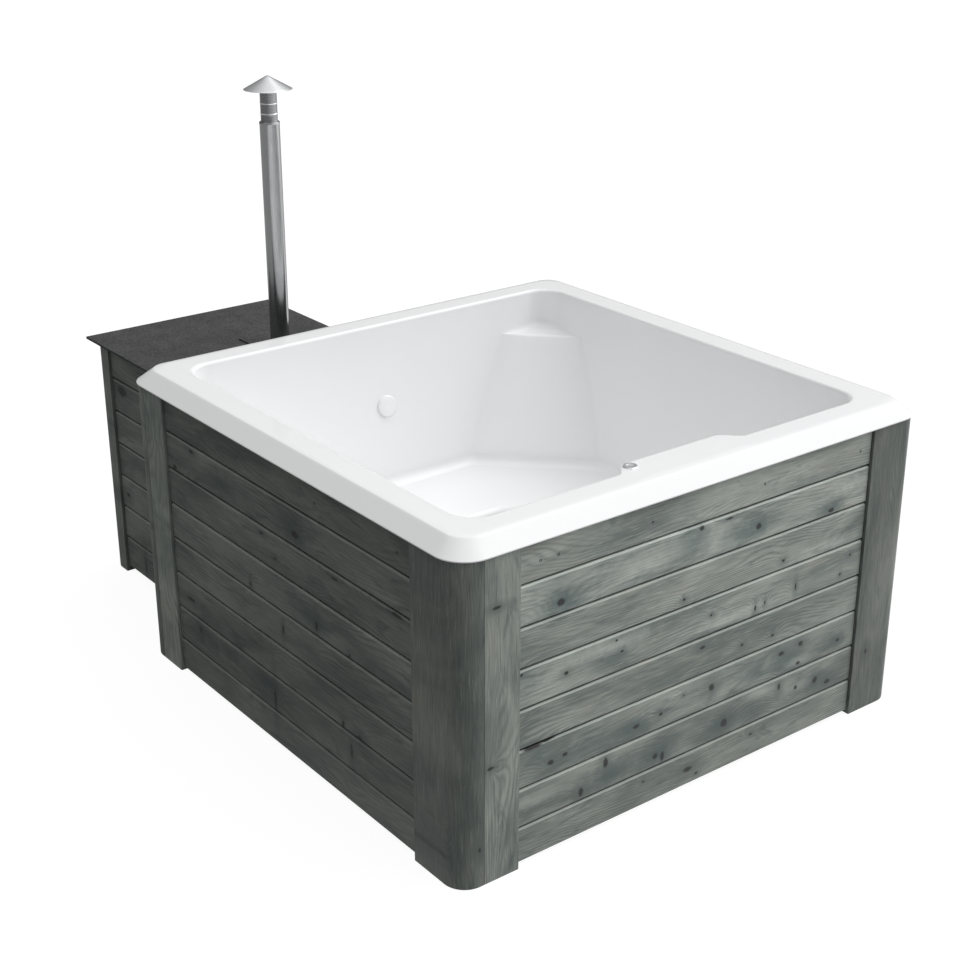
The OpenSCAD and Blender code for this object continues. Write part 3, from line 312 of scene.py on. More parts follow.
STAINS_FRONT = (
    (-520, 755, 80, 42), (227, 301, 62, 34), (370, 300, 90, 45), (230, 157, 80, 34), (-160, 160, 90, 46),
    (-330, 170, 110, 40), (100, 170, 70, 40), (480, 175, 90, 34), (570, 285, 60, 30), (500, 745, 70, 30),
    (-60, 790, 90, 44), (-250, 285, 70, 26), (150, 770, 110, 36),
)
PALE_FRONT = (
    (-242, 786, 170, 34), (576, 797, 110, 30), (420, 269, 60, 18), (585, 376, 90, 24), (-330, 568, 150, 26),
    (-609, 192, 90, 26), (409, 179, 70, 20), (255, 216, 60, 16), (106, 512, 120, 22), (512, 622, 110, 26),
)
KNOTS_LEFT = (
    (500, 822, 12, 6), (615, 733, 12, 9), (-88, 760, 15, 11), (99, 698, 10, 4), (570, 294, 26, 6),
    (68, 160, 6, 38), (-389, 249, 11, 9), (-306, 254, 7, 12), (-345, 185, 6, 24), (-185, 514, 5, 13),
    (1, 425, 5, 12), (-350, 491, 4, 5), (-584, 711, 36, 4), (-289, 701, 16, 3), (179, 504, 4, 9),
    (519, 207, 6, 13), (28, 643, 6, 4),
)
STAINS_LEFT = (
    (-85, 765, 110, 44), (109, 204, 80, 30), (500, 200, 110, 40), (340, 205, 90, 34), (440, 190, 60, 30),
    (-400, 240, 60, 40), (330, 780, 100, 40), (-180, 520, 70, 30),
)
KNOTS_CABINET = (
    (1379, 721, 30, 20), (1305, 77, 5, 30), (1120, 560, 12, 10), (1240, 450, 10, 8), (1400, 320, 12, 8),
    (1180, 240, 9, 12),
)
KNOTS_SIDE = ((-739, 811, 14, 5), (-758, 352, 11, 5), (743, 684, 11, 5), (783, 441, 9, 9))


def timber(name, axis, seed):
    """Raw sawn softwood of the hidden frame."""
    t = material_tree(name)
    x, y, z = t.split(t.position())
    along, across, deep = {"x": (x, z, y), "y": (y, z, x), "z": (z, x, y)}[axis]
    p = t.join(along, across, deep)
    shifted = t.vmath("ADD", t.vmath("MULTIPLY", p, (2.0, 34.0, 34.0)), (0.0, 0.0, seed))
    grain = t.noise(shifted, 1.0, 4.0, 0.6, 0.7)
    saw = t.noise(t.vmath("MULTIPLY", p, (240.0, 9.0, 1.0)), 1.0, 2.0)
    color = t.mix(t.ramp(grain, (0.3, 0.0), (0.7, 1.0)), srgb(196, 160, 112), srgb(222, 194, 150))
    color = t.mix(t.math("MULTIPLY", saw, 0.3), color, srgb(180, 146, 104))
    return t.finish(color, 0.78, t.bump(t.math("ADD", grain, saw), 0.0006, 0.5))


def acrylic():
    """Glossy white moulded shell, very slightly uneven under its gloss."""
    t = material_tree("acrylic_white")
    p = t.position()
    cloud = t.noise(p, 2.2, 2.0)
    color = t.mix(cloud, (0.895, 0.90, 0.905), (0.92, 0.924, 0.928))
    wave = t.bump(t.noise(p, 7.0, 1.0), 0.0012, 0.25)
    rough = t.math("MULTIPLY_ADD", t.noise(p, 30.0, 3.0), 0.06, 0.13)
    return t.finish(color, rough, wave, **{"Coat Weight": 0.3, "Coat Roughness": 0.06})


def metal(name, color, rough, brush=0.0, dirt=0.06):
    """Metal with fine brushing round it, at right angles to z, and faint stains."""
    t = material_tree(name)
    streak = t.noise(t.vmath("MULTIPLY", t.position(), (6.0, 6.0, 900.0)), 1.0, 2.0)
    stain = t.noise(t.position(), 18.0, 4.0, 0.6)
    dark = tuple(c * 0.72 for c in color)
    tint = t.mix(t.math("MULTIPLY", t.ramp(stain, (0.45, 0.0), (0.75, 1.0)), dirt * 4), color, dark)
    uneven = t.math("MULTIPLY_ADD", streak, brush, rough - brush / 2)
    uneven = t.math("ADD", uneven, t.math("MULTIPLY", stain, dirt))
    return t.finish(tint, uneven, t.bump(streak, 0.00005, 0.3), Metallic=1.0)


RIBS = 1256.0  # radians a metre: a rib about every 5 mm
BEAD_HALF = 0.005


def ribbed(name, color, rough, beads):
    """Thin rolled pipe: fine ribs round it with painted shade in their hollows, and a painted highlight line
    at each bead's height.
    """
    t = material_tree(name)
    z = t.split(t.position())[2]
    rib = t.math("MULTIPLY_ADD", t.math("SINE", t.math("MULTIPLY", z, RIBS)), 0.5, 0.5)
    # painted shade: the colour darkens in the hollows between the ribs
    tint = t.mix(rib, tuple(c * 0.62 for c in color), color)
    # painted highlight: a light line at each bead's height
    for bead in beads:
        off = t.math("MULTIPLY", t.math("ABSOLUTE", t.math("SUBTRACT", z, bead)), 1.0 / BEAD_HALF)
        tint = t.mix(t.ramp(off, (0.3, 1.0), (0.6, 0.0)), tint, (0.9, 0.9, 0.91))
    uneven = t.math("MULTIPLY_ADD", t.noise(t.position(), 18.0, 4.0, 0.6), 0.1, rough)
    return t.finish(tint, uneven, t.bump(rib, 0.0004, 0.5), Metallic=1.0)


def granular(name, dark, light, grain, rough, depth, spots=0.0):
    """Matt material with a fine grain of lighter and darker specks."""
    t = material_tree(name)
    p = t.position()
    small = t.noise(p, grain, 3.0, 0.7)
    large = t.noise(p, 9.0, 3.0, 0.6)
    mixed = t.math("MULTIPLY_ADD", large, 0.25, t.math("MULTIPLY", small, 0.85))
    color = t.mix(t.ramp(mixed, (0.38, 0.0), (0.68, 1.0)), dark, light)
    if spots:
        fleck = t.ramp(t.noise(p, grain * 0.7, 1.0), (0.68, 0.0), (0.72, spots))
        color = t.mix(fleck, color, tuple(min(1.0, c * 2.2) for c in light))
    return t.finish(color, rough, t.bump(small, depth, 0.6))


def plastic(name, color, rough, grain=240.0):
    """Moulded plastic or rubber with a faint fine texture."""
    t = material_tree(name)
    p = t.position()
    small = t.noise(p, grain, 2.0)
    cloud = t.noise(p, 14.0, 3.0)
    tint = t.mix(cloud, tuple(c * 0.86 for c in color), tuple(min(1.0, c * 1.1) for c in color))
    value = t.math("MULTIPLY_ADD", small, 0.12, rough - 0.06)
    return t.finish(tint, value, t.bump(small, 0.0001, 0.4))


# Height of a row of boards and where the rows start, of tub and cabinet, and the heights of the flue's beads
ROW = (0.12, 0.0)
CABINET_ROW = (0.1225, 0.0175)
FLUE_BEADS = (1.678, 1.712)
MATERIALS = {
    # the front and the corner's side boards are painted lighter as lit sides; the left side, the cabinet's
    # left boards and its posts are painted darker as shaded sides
    "boards_front": wood("spruce_front", "x", 1, *ROW, painted_side_light=1.83, spread=0.14, climb=0.48,
                         knots=KNOTS_FRONT, stains=STAINS_FRONT, pale=PALE_FRONT),
    "boards_back": wood("spruce_back", "x", 2, *ROW),
    "boards_left": wood("spruce_left", "y", 3, *ROW, painted_side_light=0.80, knots=KNOTS_LEFT, stains=STAINS_LEFT),
    "boards_right": wood("spruce_right", "y", 4, *ROW),
    "corner_posts": wood("spruce_posts", "z", 5),
    "corner_side_boards": wood("spruce_side_boards", "z", 6, painted_side_light=1.34, knots=KNOTS_SIDE),
    "cabinet_boards_left": wood("spruce_cabinet_left", "y", 7, *CABINET_ROW, painted_side_light=0.80, knots=KNOTS_CABINET),
    "cabinet_boards_right": wood("spruce_cabinet_right", "y", 8, *CABINET_ROW),
    "cabinet_boards_back": wood("spruce_cabinet_back", "x", 9, *CABINET_ROW),
    "cabinet_post_left": wood("spruce_cabinet_posts", "z", 10, painted_side_light=0.85),
    "base_ring": timber("timber_ring", "x", 1.0),
    "footwell_bearers": timber("timber_joists", "y", 2.0),
    "studs": timber("timber_studs", "z", 3.0),
    "top_rails": timber("timber_rails", "x", 4.0),
    "cabinet_frame": timber("timber_cabinet", "z", 5.0),
    "top_plate": granular("slate_plate", srgb(24, 24, 25), srgb(74, 74, 75), 170.0, 0.86, 0.0006, 0.5),
    "basin": acrylic(),
    "button_ring": metal("chrome", (0.86, 0.87, 0.88), 0.14, dirt=0.01),
    "push_button": metal("satin_chrome", (0.78, 0.79, 0.80), 0.34, dirt=0.02),
    "button_nut": plastic("grey_plastic", srgb(150, 154, 158), 0.45),
    "outlet_grid": metal("steel_small", (0.62, 0.63, 0.64), 0.2, 0.08),
    "drain_valve": metal("brass_valve", (0.60, 0.46, 0.22), 0.3, 0.1, dirt=0.12),
    "drain_valve_lever": plastic("red_lever", srgb(170, 28, 24), 0.38),
    "flue_collar": granular("black_iron", srgb(24, 24, 25), srgb(44, 44, 46), 420.0, 0.6, 0.0003),
    "stove_shell": granular("stove_paint", srgb(44, 45, 47), srgb(66, 67, 69), 520.0, 0.62, 0.0002),
    "door_seal": granular("seal_rope", srgb(60, 60, 60), srgb(104, 104, 102), 700.0, 0.95, 0.0008),
    "warm_hose": plastic("hose_rubber", srgb(34, 34, 36), 0.66, 300.0),
    "lower_flue": metal("stainless_flue", (0.41, 0.415, 0.42), 0.17, 0.08, dirt=0.05),
    "upper_flue": ribbed("stainless_top", (0.33, 0.335, 0.34), 0.26, FLUE_BEADS),
    "rain_cap": metal("stainless_cap", (0.62, 0.63, 0.64), 0.24, 0.08, dirt=0.05),
}
SAME = {
    "cabinet_post_right": "cabinet_post_left",
    "inlet_cover": "basin",
    "inlet_fitting": "button_nut", "outlet_fitting": "button_nut", "fitting_nuts": "button_nut",
    "drain_body": "button_nut", "drain_pipe": "button_nut",
    "drain_strainer": "outlet_grid", "hinge_pins": "outlet_grid", "door_latch": "outlet_grid",
    "hose_clamps": "outlet_grid",
    "door_frame": "flue_collar", "latch_keeper": "flue_collar", "stove_door": "flue_collar",
    "grate": "flue_collar",
    "firebox": "stove_shell", "stove_feet": "stove_shell", "ash_drawer": "stove_shell",
    "cold_hose": "warm_hose",
}
for name, other in SAME.items():
    MATERIALS[name] = MATERIALS[other]


SHARP_ANGLE = math.radians(32)
WELD = 0.01 * MM


def smoothing():
    """Geometry node group: welds the imported faces and shades smooth all but the sharp edges."""
    group = bpy.data.node_groups.new("weld_and_smooth", "GeometryNodeTree")
    group.interface.new_socket("Geometry", in_out="INPUT", socket_type="NodeSocketGeometry")
    group.interface.new_socket("Geometry", in_out="OUTPUT", socket_type="NodeSocketGeometry")
    new, link = group.nodes.new, group.links.new
    start, end = new("NodeGroupInput"), new("NodeGroupOutput")
    weld = new("GeometryNodeMergeByDistance")
    weld.inputs["Distance"].default_value = WELD
    faces = new("GeometryNodeSetShadeSmooth")
    faces.domain = "FACE"
    edges = new("GeometryNodeSetShadeSmooth")
    edges.domain = "EDGE"
    edges.inputs["Shade Smooth"].default_value = False
    angle = new("GeometryNodeInputMeshEdgeAngle")
    sharp = new("FunctionNodeCompare")
    sharp.operation = "GREATER_THAN"
    sharp.inputs[1].default_value = SHARP_ANGLE
    link(start.outputs[0], weld.inputs["Geometry"])
    link(weld.outputs[0], faces.inputs["Geometry"])
    link(faces.outputs[0], edges.inputs["Geometry"])
    link(angle.outputs["Unsigned Angle"], sharp.inputs[0])
    link(sharp.outputs[0], edges.inputs["Selection"])
    link(edges.outputs[0], end.inputs[0])
    return group


SMOOTH = smoothing()


def smooth(obj):
    obj.modifiers.new("smooth", "NODES").node_group = SMOOTH


for name, obj in nodes.items():
    obj.data.materials.clear()
    obj.data.materials.append(MATERIALS[name])
    smooth(obj)


def add_object(name, data):
    obj = bpy.data.objects.new(name, data)
    bpy.context.scene.collection.objects.link(obj)
    return obj


def mesh_object(name, verts, faces, material):
    mesh = bpy.data.meshes.new(name)
    mesh.from_pydata(verts, [], faces)
    mesh.materials.append(material)
    return add_object(name, mesh)


def bmesh_object(name, bm):
    mesh = bpy.data.meshes.new(name)
    bm.to_mesh(mesh)
    bm.free()
    return add_object(name, mesh)


# ---------------------------------------------------------------- fine basin
# The same loft as the CAD node, in millimetres, sampled more closely. Widths are halves, and distances
# of the backrest are along the diagonal from the middle of the tub.

HALF, RIM_Z, SHELL = 860.0, 1000.0, 8.0
LIP_OUT, LIP_DROP, CREASE_IN, MOUTH_IN = 9.0, 43.0, 39.0, 125.0
LIP_R, CREASE_R, MOUTH_R, MOUTH_ROUND = 92.0, 60.0, 84.0, 10.0
WALL_LEAN, SEAT_Z, COVE_R, SEAT_FALL = 95.0, 453.0, 37.0, 14.0
WELL, FLOOR_Z, WELL_LEAN, WELL_ROUND, WELL_COVE = 280.0, 150.0, 12.0, 24.0, 60.0
SHELF_DROP, SHELF_COVE, SHELF_LIP, REST_FILLET = 134.0, 26.0, 14.0, 24.0
CONSOLE_W, CONSOLE_OUT, CONSOLE_CURVE = 478.0, 52.0, 68.0
REST_CUT_TOP, REST_CUT_FOOT = 150.0, 360.0
REST_R, SEAT_R, WELL_R, WELL_LOW_R = MOUTH_R + 10, MOUTH_R + 30, MOUTH_R + 20, MOUTH_R + 14
LIP_EDGE, SOFT_CREASE, SHELF_FALL, FADE_UP = 3.0, 2.0, 0.4, 200.0
LIP_TURN = math.radians(60)
CORNER_END = math.tan(math.radians(20))
ROOT2 = math.sqrt(2)
MOUTH = HALF - MOUTH_IN
REST_TOP, REST_FOOT = ROOT2 * MOUTH - REST_CUT_TOP, ROOT2 * MOUTH - REST_CUT_FOOT
WALL_FOOT = MOUTH - WALL_LEAN
SEAT_EDGE = WALL_FOOT - COVE_R
SHELF_Z = RIM_Z - SHELF_DROP
LEAN_TOP, LEAN_FOOT = RIM_Z - MOUTH_ROUND - 5, SEAT_Z + COVE_R
WELL_TOP, WELL_LOW = SEAT_Z - SEAT_FALL - WELL_ROUND, FLOOR_Z + WELL_COVE
REST_EDGE = REST_FOOT - COVE_R
REST_WELL = REST_EDGE - (SEAT_EDGE - WELL)


def wall_w(z):
    """Half-width of the leaning wall."""
    return MOUTH - WALL_LEAN * min(1.0, max(0.0, (LEAN_TOP - z) / (LEAN_TOP - LEAN_FOOT))) ** 1.5


def rest_d(z):
    """Distance of the backrest's leaning plane."""
    return REST_FOOT + (REST_TOP - REST_FOOT) * (z - LEAN_FOOT) / (SHELF_Z - LEAN_FOOT)


def console_reach(z):
    """How far the console stands into the basin: all of it at the rim, nothing well above the seat."""
    low = SEAT_Z + FADE_UP
    return CONSOLE_OUT * max(0.0, min(1.0, (z - low) / (RIM_Z - MOUTH_ROUND - low)))


def steps(n, a=0.0, b=1.0):
    return [a + (b - a) * i / n for i in range(n + 1)]


def quarter(n):
    """A quarter turn in n steps: what is left of the fall, how far it has run, and the share turned."""
    return [(1 - math.sin(a), 1 - math.cos(a), 2 * a / math.pi) for a in steps(n, 0, math.pi / 2)]


def between(a, b, share):
    return a + (b - a) * share


def level(z, w, r, rest=REST_TOP, console=0.0, share=0.0, cove=0.0):
    """One ring of the loft: height, half-width, corner radius, distance of the backrest, reach of the
    console, the backrest's share of its corner, and the reach of the shelf's cove."""
    return [z, w, r, rest, console, share, cove]


def rim_levels():
    """The lip's bevel, the flat rim and the round into the basin."""
    wide, narrow = HALF + LIP_OUT, HALF - CREASE_IN + SOFT_CREASE
    low, high = RIM_Z - LIP_DROP + LIP_EDGE, RIM_Z - SOFT_CREASE
    levels = [level(RIM_Z - LIP_DROP, wide, LIP_R)]
    for s in steps(8):
        levels.append(level(between(low, high, s), between(wide, narrow, s),
                            between(LIP_R, CREASE_R + SOFT_CREASE, s)))
    levels.append(level(RIM_Z - 0.6, HALF - CREASE_IN - 0.2, CREASE_R))
    start, end = HALF - CREASE_IN - SOFT_CREASE, MOUTH + MOUTH_ROUND + SOFT_CREASE
    for s in steps(4):
        levels.append(level(RIM_Z, between(start, end, s), between(CREASE_R, MOUTH_R, s) - SOFT_CREASE,
                            console=CONSOLE_OUT * s))
    for out, down, _ in quarter(10):
        levels.append(level(RIM_Z - MOUTH_ROUND * down, MOUTH + MOUTH_ROUND * out, MOUTH_R,
                            console=CONSOLE_OUT))
    return levels


def wall_levels():
    """The wall from the rim to the shelf, the shelf's cove, top and lip, and the backrest below."""
    levels = []
    for z in steps(9, LEAN_TOP, SHELF_Z + SHELF_COVE + 4):
        levels.append(level(z, wall_w(z), MOUTH_R, console=console_reach(z)))
    depth = wall_point(0, wall_w(SHELF_Z), MOUTH_R).x - SHELF_COVE - REST_TOP
    lip = SHELF_LIP * math.tan(LIP_TURN / 2)
    shelf = [(SHELF_COVE * up, 0.0, SHELF_COVE * out) for up, out, _ in quarter(9)]
    shelf += [(-SHELF_FALL * q, q * (1 - lip / depth), SHELF_COVE) for q in steps(7)[1:]]
    for a in steps(6, 0, LIP_TURN)[1:]:
        dz = -SHELF_FALL - SHELF_LIP * (1 - math.cos(a))
        out = REST_TOP + lip - SHELF_LIP * math.sin(a) - rest_d(SHELF_Z + dz)
        shelf.append((dz, 1 - max(0.0, out) / depth, SHELF_COVE))
    for dz, share, cove in shelf:
        z = SHELF_Z + dz
        levels.append(level(z, wall_w(z), MOUTH_R, min(REST_TOP, rest_d(z)), console_reach(z), share, cove))
    for z in steps(26, levels[-1][0], LEAN_FOOT)[1:]:
        ease = min(1.0, (SHELF_Z - 8 - z) / 60)
        levels.append(level(z, wall_w(z), between(MOUTH_R, REST_R, ease), rest_d(z), console_reach(z), 1.0))
    return levels


def seat_levels():
    """The cove at the wall's foot and the seat, which falls a little to the footwell."""
    levels = []
    for up, out, turned in quarter(14)[1:]:
        levels.append(level(SEAT_Z + COVE_R * up, WALL_FOOT - COVE_R * out, between(REST_R, SEAT_R, turned),
                            REST_FOOT - COVE_R * out, share=1.0))
    run = SEAT_EDGE - WELL - WELL_ROUND
    for s in steps(10)[1:-1]:
        levels.append(level(SEAT_Z - SEAT_FALL * 0.95 * s, SEAT_EDGE - run * s, between(SEAT_R, WELL_R, s),
                            REST_EDGE - run * s, share=1.0))
    return levels


def well_levels():
    """The footwell's rounded edge, its wall and the cove to its floor."""
    levels = []
    for out, down, _ in quarter(8):
        levels.append(level(SEAT_Z - SEAT_FALL - WELL_ROUND * down, WELL + WELL_ROUND * out, WELL_R,
                            REST_WELL + WELL_ROUND * out, share=1.0))
    for s in steps(8)[1:]:
        levels.append(level(between(WELL_TOP, WELL_LOW, s), WELL - WELL_LEAN * s,
                            between(WELL_R, WELL_LOW_R, s), REST_WELL - WELL_LEAN * s, share=1.0))
    for up, out, turned in quarter(10)[1:]:
        levels.append(level(FLOOR_Z + WELL_COVE * up, WELL - WELL_LEAN - WELL_COVE * out,
                            between(WELL_LOW_R, MOUTH_R, turned), REST_WELL - WELL_LEAN - WELL_COVE * out,
                            share=1.0))
    return levels


def reach(a, w, r):
    """Distance from the middle to a rounded square, in a direction."""
    c, s = max(abs(math.cos(a)), abs(math.sin(a))), min(abs(math.cos(a)), abs(math.sin(a)))
    k = w - r
    return w / c if w * s / c <= k else k * (c + s) + math.sqrt(max(0.0, r * r - (k * (c - s)) ** 2))


# The back right corner as (s, t): s out along the basin's diagonal, t across it. The wall there is
# the rounded square; the backrest is a plane across it, at right angles to s.


def wall_point(t, w, r):
    if abs(t) <= r / ROOT2:
        return Vector((ROOT2 * (w - r) + math.sqrt(r * r - t * t), t))
    return Vector((ROOT2 * w - abs(t), t))


def bend(a, b, c, n):
    """Curve from a to c, turned towards b."""
    return [a * (1 - q) ** 2 + b * 2 * q * (1 - q) + c * q * q for q in steps(n)]


def rest_line(w, d):
    """Half of the line where a level cuts the backrest, from its middle to the wall beside it."""
    half = ROOT2 * w - d
    turn, straight = Vector((d, half)), half - REST_FILLET
    face = [Vector((d, straight * q)) for q in steps(24)[:-1]]
    on_wall = turn + Vector((-REST_FILLET, REST_FILLET)) / ROOT2
    return face + bend(Vector((d, straight)), turn, on_wall, 12)


def corner_half(w, r, d, share, cove):
    """Half of a level in the backrest's corner: the wall and the backrest's line blended by share, then
    the straight wall up to where the directions of basin_angles start."""
    line = rest_line(w, d)
    n = len(line) - 1
    end = line[n].y if share > 0 else ROOT2 * wall_w(SHELF_Z) - REST_TOP + REST_FILLET / ROOT2
    wall = [wall_point(end * i / n, w, r) - Vector((cove * (1 - (i / n) ** 2), 0)) for i in range(n + 1)]
    body = [a.lerp(b, share) for a, b in zip(wall, line)]
    last = Vector((w * (1 + CORNER_END), w * (1 - CORNER_END))) / ROOT2
    return body + [body[n].lerp(last, q) for q in steps(12)[1:]]


def console_part(x):
    """The console's share along the front wall: 1 in the middle, and a wave down to 0 at its ends."""
    s = (CONSOLE_W / 2 - abs(x)) / CONSOLE_CURVE
    return 1.0 if s >= 1 else 0.0 if s <= 0 else (1 - math.cos(math.pi * s)) / 2


def level_ring(row, angles):
    """Points of one level in metres: the backrest's corner, then round by the angles."""
    z, w, r, d, reach_in, share, cove = row
    half = corner_half(w, r, d, share, cove)
    corner = list(reversed(half)) + [Vector((p.x, -p.y)) for p in half[1:]]
    ring = [((p.x + p.y) / ROOT2 * MM, (p.x - p.y) / ROOT2 * MM, z * MM) for p in corner]
    for a in angles:
        q = reach(a, w, r)
        x, y = q * math.cos(a), q * math.sin(a)
        if y < 0 and reach_in > 0:
            y += reach_in * console_part(x)
        ring.append((x * MM, y * MM, z * MM))
    return ring


def basin_angles():
    """Directions from the back wall round to the right wall, closer at the corners and console's ends."""
    low, high, samples, count = 71.2, 378.8, 1240, 300
    weight = []
    for i in range(samples):
        deg = low + (high - low) * (i + 0.5) / samples
        corner = min(abs(deg - c) for c in (135, 225, 315))
        console = min(abs(deg - c) for c in (253.5, 286.5))
        dense = 1.0 + 3.2 * math.exp(-(corner / 5) ** 2) + 0.8 * math.exp(-(corner / 13) ** 2)
        weight.append(dense + 2.4 * math.exp(-(console / 4) ** 2))
    spacing, run, out = sum(weight) / count, 0.0, []
    for i, dense in enumerate(weight):
        while len(out) < count and run + dense > len(out) * spacing:
            place = i + (len(out) * spacing - run) / dense
            out.append(math.radians(low + (high - low) * place / samples))
        run += dense
    return out


def make_basin():
    """The shell: the outer surface from the floor up, the rim's edge, and the inner surface back down."""
    angles = basin_angles()
    inner = rim_levels() + wall_levels() + seat_levels() + well_levels()
    outer = [[z - SHELL, w + SHELL, r + SHELL, d + SHELL, *rest] for z, w, r, d, *rest in reversed(inner)
             if w < MOUTH + MOUTH_ROUND - 1 and z <= RIM_Z - 1]
    rim = [level(RIM_Z - SHELL, HALF - CREASE_IN - SHELL / 2, CREASE_R - SHELL / 2),
           level(RIM_Z - LIP_DROP, HALF + LIP_OUT - SHELL, LIP_R - SHELL)]
    rings = [level_ring(row, angles) for row in outer + rim + inner]
    n = len(rings[0])
    faces = []
    for j in range(len(rings) - 1):
        for i in range(n):
            k = (i + 1) % n
            faces.append((j * n + i, (j + 1) * n + i, (j + 1) * n + k, j * n + k))
    faces.append(tuple(range(n)))
    last = (len(rings) - 1) * n
    faces.append(tuple(last + i for i in range(n - 1, -1, -1)))
    return mesh_object("basin_moulding", [v for ring in rings for v in ring], faces, MATERIALS["basin"])


# Fittings in the basin, in millimetres: heights on the back walls, places from above, and radii of the holes
INLET_Z, OUTLET_Z = 719.0, 250.0
BUTTON_AT, DRAIN_AT = (-174.0, -717.0), (125.0, 0.0)
BUTTON_R, DRAIN_R, FITTING_R = 14.5, 31.5, 19.5


def wall_tilt(z):
    """How far the leaning wall stands from upright at a height, in radians."""
    part = (LEAN_TOP - z) / (LEAN_TOP - LEAN_FOOT)
    return math.atan(1.5 * WALL_LEAN * math.sqrt(part) / (LEAN_TOP - LEAN_FOOT))


def through_wall(z, y, tilt):
    """Two points on a fitting's axis, inside and outside of the back wall."""
    along = Vector((0, math.cos(tilt), -math.sin(tilt))) * 50
    middle = Vector((0, y, z))
    return middle - along, middle + along


def holes(target):
    """Cuts the openings that the fittings and the push button go through."""
    well_slope = WELL_LEAN / (WELL_TOP - WELL_LOW)
    well_w = WELL - well_slope * (WELL_TOP - OUTLET_Z)
    bm = bmesh.new()
    for low, high, radius in (
        ((*BUTTON_AT, RIM_Z - 40), (*BUTTON_AT, RIM_Z + 30), BUTTON_R),
        ((*DRAIN_AT, FLOOR_Z - 30), (*DRAIN_AT, FLOOR_Z + 30), DRAIN_R),
        (*through_wall(INLET_Z, wall_w(INLET_Z), wall_tilt(INLET_Z)), FITTING_R),
        (*through_wall(OUTLET_Z, well_w, math.atan(well_slope)), FITTING_R),
    ):
        low, high = Vector(low) * MM, Vector(high) * MM
        turn = (high - low).to_track_quat("Z", "Y").to_matrix().to_4x4()
        bmesh.ops.create_cone(bm, cap_ends=True, segments=48, radius1=radius * MM, radius2=radius * MM,
                              depth=(high - low).length, matrix=Matrix.Translation((low + high) / 2) @ turn)
    cutter = bmesh_object("cutter", bm)
    mod = target.modifiers.new("holes", "BOOLEAN")
    mod.operation, mod.solver, mod.object = "DIFFERENCE", "EXACT", cutter
    cut = target.evaluated_get(bpy.context.evaluated_depsgraph_get())
    made = bpy.data.meshes.new_from_object(cut)
    target.modifiers.clear()
    target.data = made
    mesh = cutter.data
    bpy.data.objects.remove(cutter)
    bpy.data.meshes.remove(mesh)


basin = make_basin()
holes(basin)
smooth(basin)
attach(basin, "tub")
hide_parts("basin")

# ---------------------------------------------------------------- screws


BOARD_FACE = 0.851
# Each side's turn, height of its screws, and their places along its top board from left to right of the side
SCREWS = (
    (0, 0.895, (-0.593, -0.534, -0.210, 0.213, 0.610)),
    (-90, 0.894, (-0.219, 0.201, 0.592)),
    (90, 0.895, (-0.592, -0.210, 0.212, 0.608)),
    (180, 0.895, (-0.592, -0.210, -0.300)),
)
# Radius and height over the board's face, from the head's edge to the foot of the recess
SCREW_PROFILE = (
    (0.0042, -0.0004), (0.0041, 0.0003), (0.0034, 0.0005), (0.0016, 0.0003), (0.0011, -0.0008),
)
RECESS_FOOT = -0.0009
RECESS_RINGS = (3, 4)
SCREW_SIDES = 24


def screw_heads():
    """Countersunk heads with a cross recess, let into the top boards."""
    bm = bmesh.new()
    for turn, height, places in SCREWS:
        side = Matrix.Rotation(math.radians(turn), 4, "Z")
        face_up = Matrix.Rotation(math.radians(90), 4, "X")
        for along in places:
            place = side @ Matrix.Translation((along, -BOARD_FACE, height)) @ face_up
            rings = []
            for i, (r, h) in enumerate(SCREW_PROFILE):
                ring = []
                for k in range(SCREW_SIDES):
                    a = 2 * math.pi * k / SCREW_SIDES
                    arm = r * (1.0 + 0.9 * max(0.0, math.cos(4 * a))) if i in RECESS_RINGS else r
                    ring.append(bm.verts.new(place @ Vector((arm * math.cos(a), arm * math.sin(a), h))))
                rings.append(ring)
            foot = bm.verts.new(place @ Vector((0, 0, RECESS_FOOT)))
            for k in range(SCREW_SIDES):
                n = (k + 1) % SCREW_SIDES
                for a, b in zip(rings, rings[1:]):
                    bm.faces.new((a[k], a[n], b[n], b[k]))
                bm.faces.new((rings[-1][k], rings[-1][n], foot))
    return bmesh_object("board_screws", bm)


screws = screw_heads()
screws.data.materials.append(metal("screw_black", (0.05, 0.05, 0.055), 0.45, dirt=0.1))
smooth(screws)
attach(screws, "tub")

# ---------------------------------------------------------------- floor, light and camera


GROUND_HALF, GROUND_DROP = 40.0, 0.0015
GROUND_ALBEDO, GROUND_GLOW = 0.12, 0.93
FLUE_AT = (-0.18, 1.08, 0.0)
SHINE_TO, SHINE = (0.6, -0.8, 0.0), ((0.1, 0.30), (0.85, 1.45))


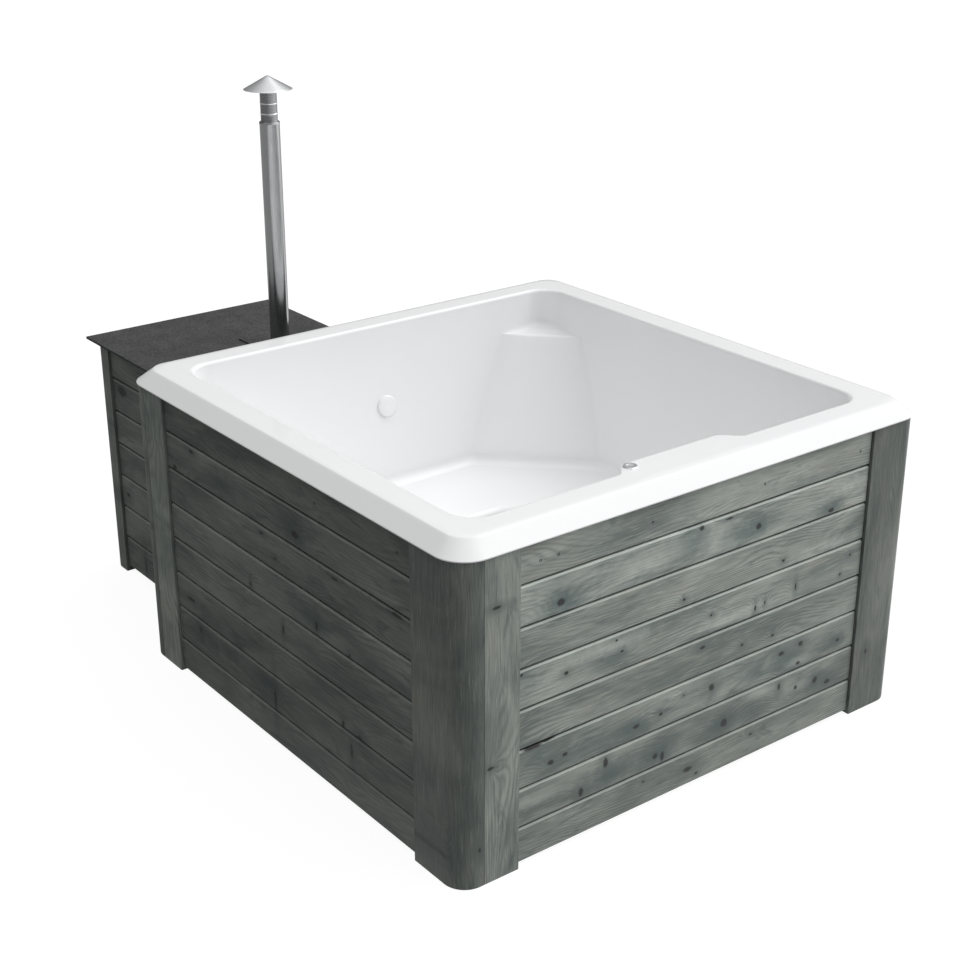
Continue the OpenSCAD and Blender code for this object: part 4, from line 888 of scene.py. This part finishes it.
def floor():
    """A pale floor that keeps the object's shadow and glows a little where the camera sees it."""
    t = material_tree("floor_pale")
    t.finish((GROUND_ALBEDO,) * 3, 0.9, **{"Specular IOR Level": 0.0})
    glow = t.add("ShaderNodeEmission")
    glow.inputs["Color"].default_value = WHITE
    path = t.add("ShaderNodeLightPath")
    # in reflections the floor is brightest on the key light's side of the flue
    away = t.vmath("NORMALIZE", t.vmath("SUBTRACT", t.position(), FLUE_AT))
    shine = t.ramp(t.vmath("DOT_PRODUCT", away, SHINE_TO), *SHINE)
    seen = t.math("MULTIPLY", path.outputs["Is Camera Ray"], GROUND_GLOW)
    mirrored = t.math("MULTIPLY", path.outputs["Is Glossy Ray"], shine)
    t.put(glow.inputs["Strength"], t.math("MAXIMUM", seen, mirrored))
    both = t.add("ShaderNodeAddShader")
    t.put(both.inputs[0], t.bsdf.outputs[0])
    t.put(both.inputs[1], glow.outputs[0])
    t.put(t.nt.nodes["Material Output"].inputs["Surface"], both.outputs[0])
    half = GROUND_HALF
    corners = [(-half, -half, 0), (half, -half, 0), (half, half, 0), (-half, half, 0)]
    obj = mesh_object("floor", corners, [(0, 1, 2, 3)], t.owner)
    obj.location.z = -GROUND_DROP


floor()


# Soft lights of the dome: direction, how narrow, brightness
DOME = 0.16
LOBES = (
    ((0.1, -0.1, 1.0), 3.0, 1.16),
    ((1.0, -0.3, 0.4), 4.0, 1.76),
    ((-1.0, -0.2, 0.4), 4.0, 0.24),
    ((0.2, 1.0, 0.5), 4.0, 0.16),
    ((0.56, 0.03, 0.83), 70.0, 2.8),
)
# The key light: where it comes from, its brightness and its spread
KEY = (0.34, -0.69, 0.64)
KEY_STRENGTH, KEY_SPREAD = 0.34, math.radians(50)
# The camera as solved from the photo
CAMERA_AT = (-3.0245, -3.7778, 2.7158)
CAMERA_TURN = (math.radians(67.0), 0.0, math.radians(-37.6))
LENS = 62.41


def world():
    """A weak dome with soft lobes of light, and white where the camera looks past the object."""
    t = Tree(bpy.data.worlds.new("studio"))
    bpy.context.scene.world = t.owner
    t.nt.nodes.clear()
    view = t.add("ShaderNodeTexCoord").outputs["Generated"]
    light = DOME
    for direction, power, strength in LOBES:
        facing = t.vmath("DOT_PRODUCT", view, Vector(direction).normalized())
        lobe = t.math("POWER", t.math("MAXIMUM", facing, 0.0), power)
        light = t.math("ADD", light, t.math("MULTIPLY", lobe, strength))
    back = t.add("ShaderNodeBackground")
    back.inputs["Color"].default_value = WHITE
    seen = t.add("ShaderNodeLightPath").outputs["Is Camera Ray"]
    t.put(back.inputs["Strength"], t.math("MAXIMUM", light, seen))
    t.put(t.add("ShaderNodeOutputWorld").inputs["Surface"], back.outputs[0])


world()

sun = bpy.data.lights.new("key", "SUN")
sun.energy = KEY_STRENGTH
sun.angle = KEY_SPREAD
add_object("key", sun).rotation_euler = (-Vector(KEY)).to_track_quat("-Z", "Y").to_euler()

camera = bpy.data.cameras.new("camera")
camera.lens, camera.sensor_width, camera.clip_end = LENS, 36.0, 200
camera_obj = add_object("camera", camera)
camera_obj.location = CAMERA_AT
camera_obj.rotation_euler = CAMERA_TURN
bpy.context.scene.camera = camera_obj
bpy.context.scene.view_settings.view_transform = "Standard"
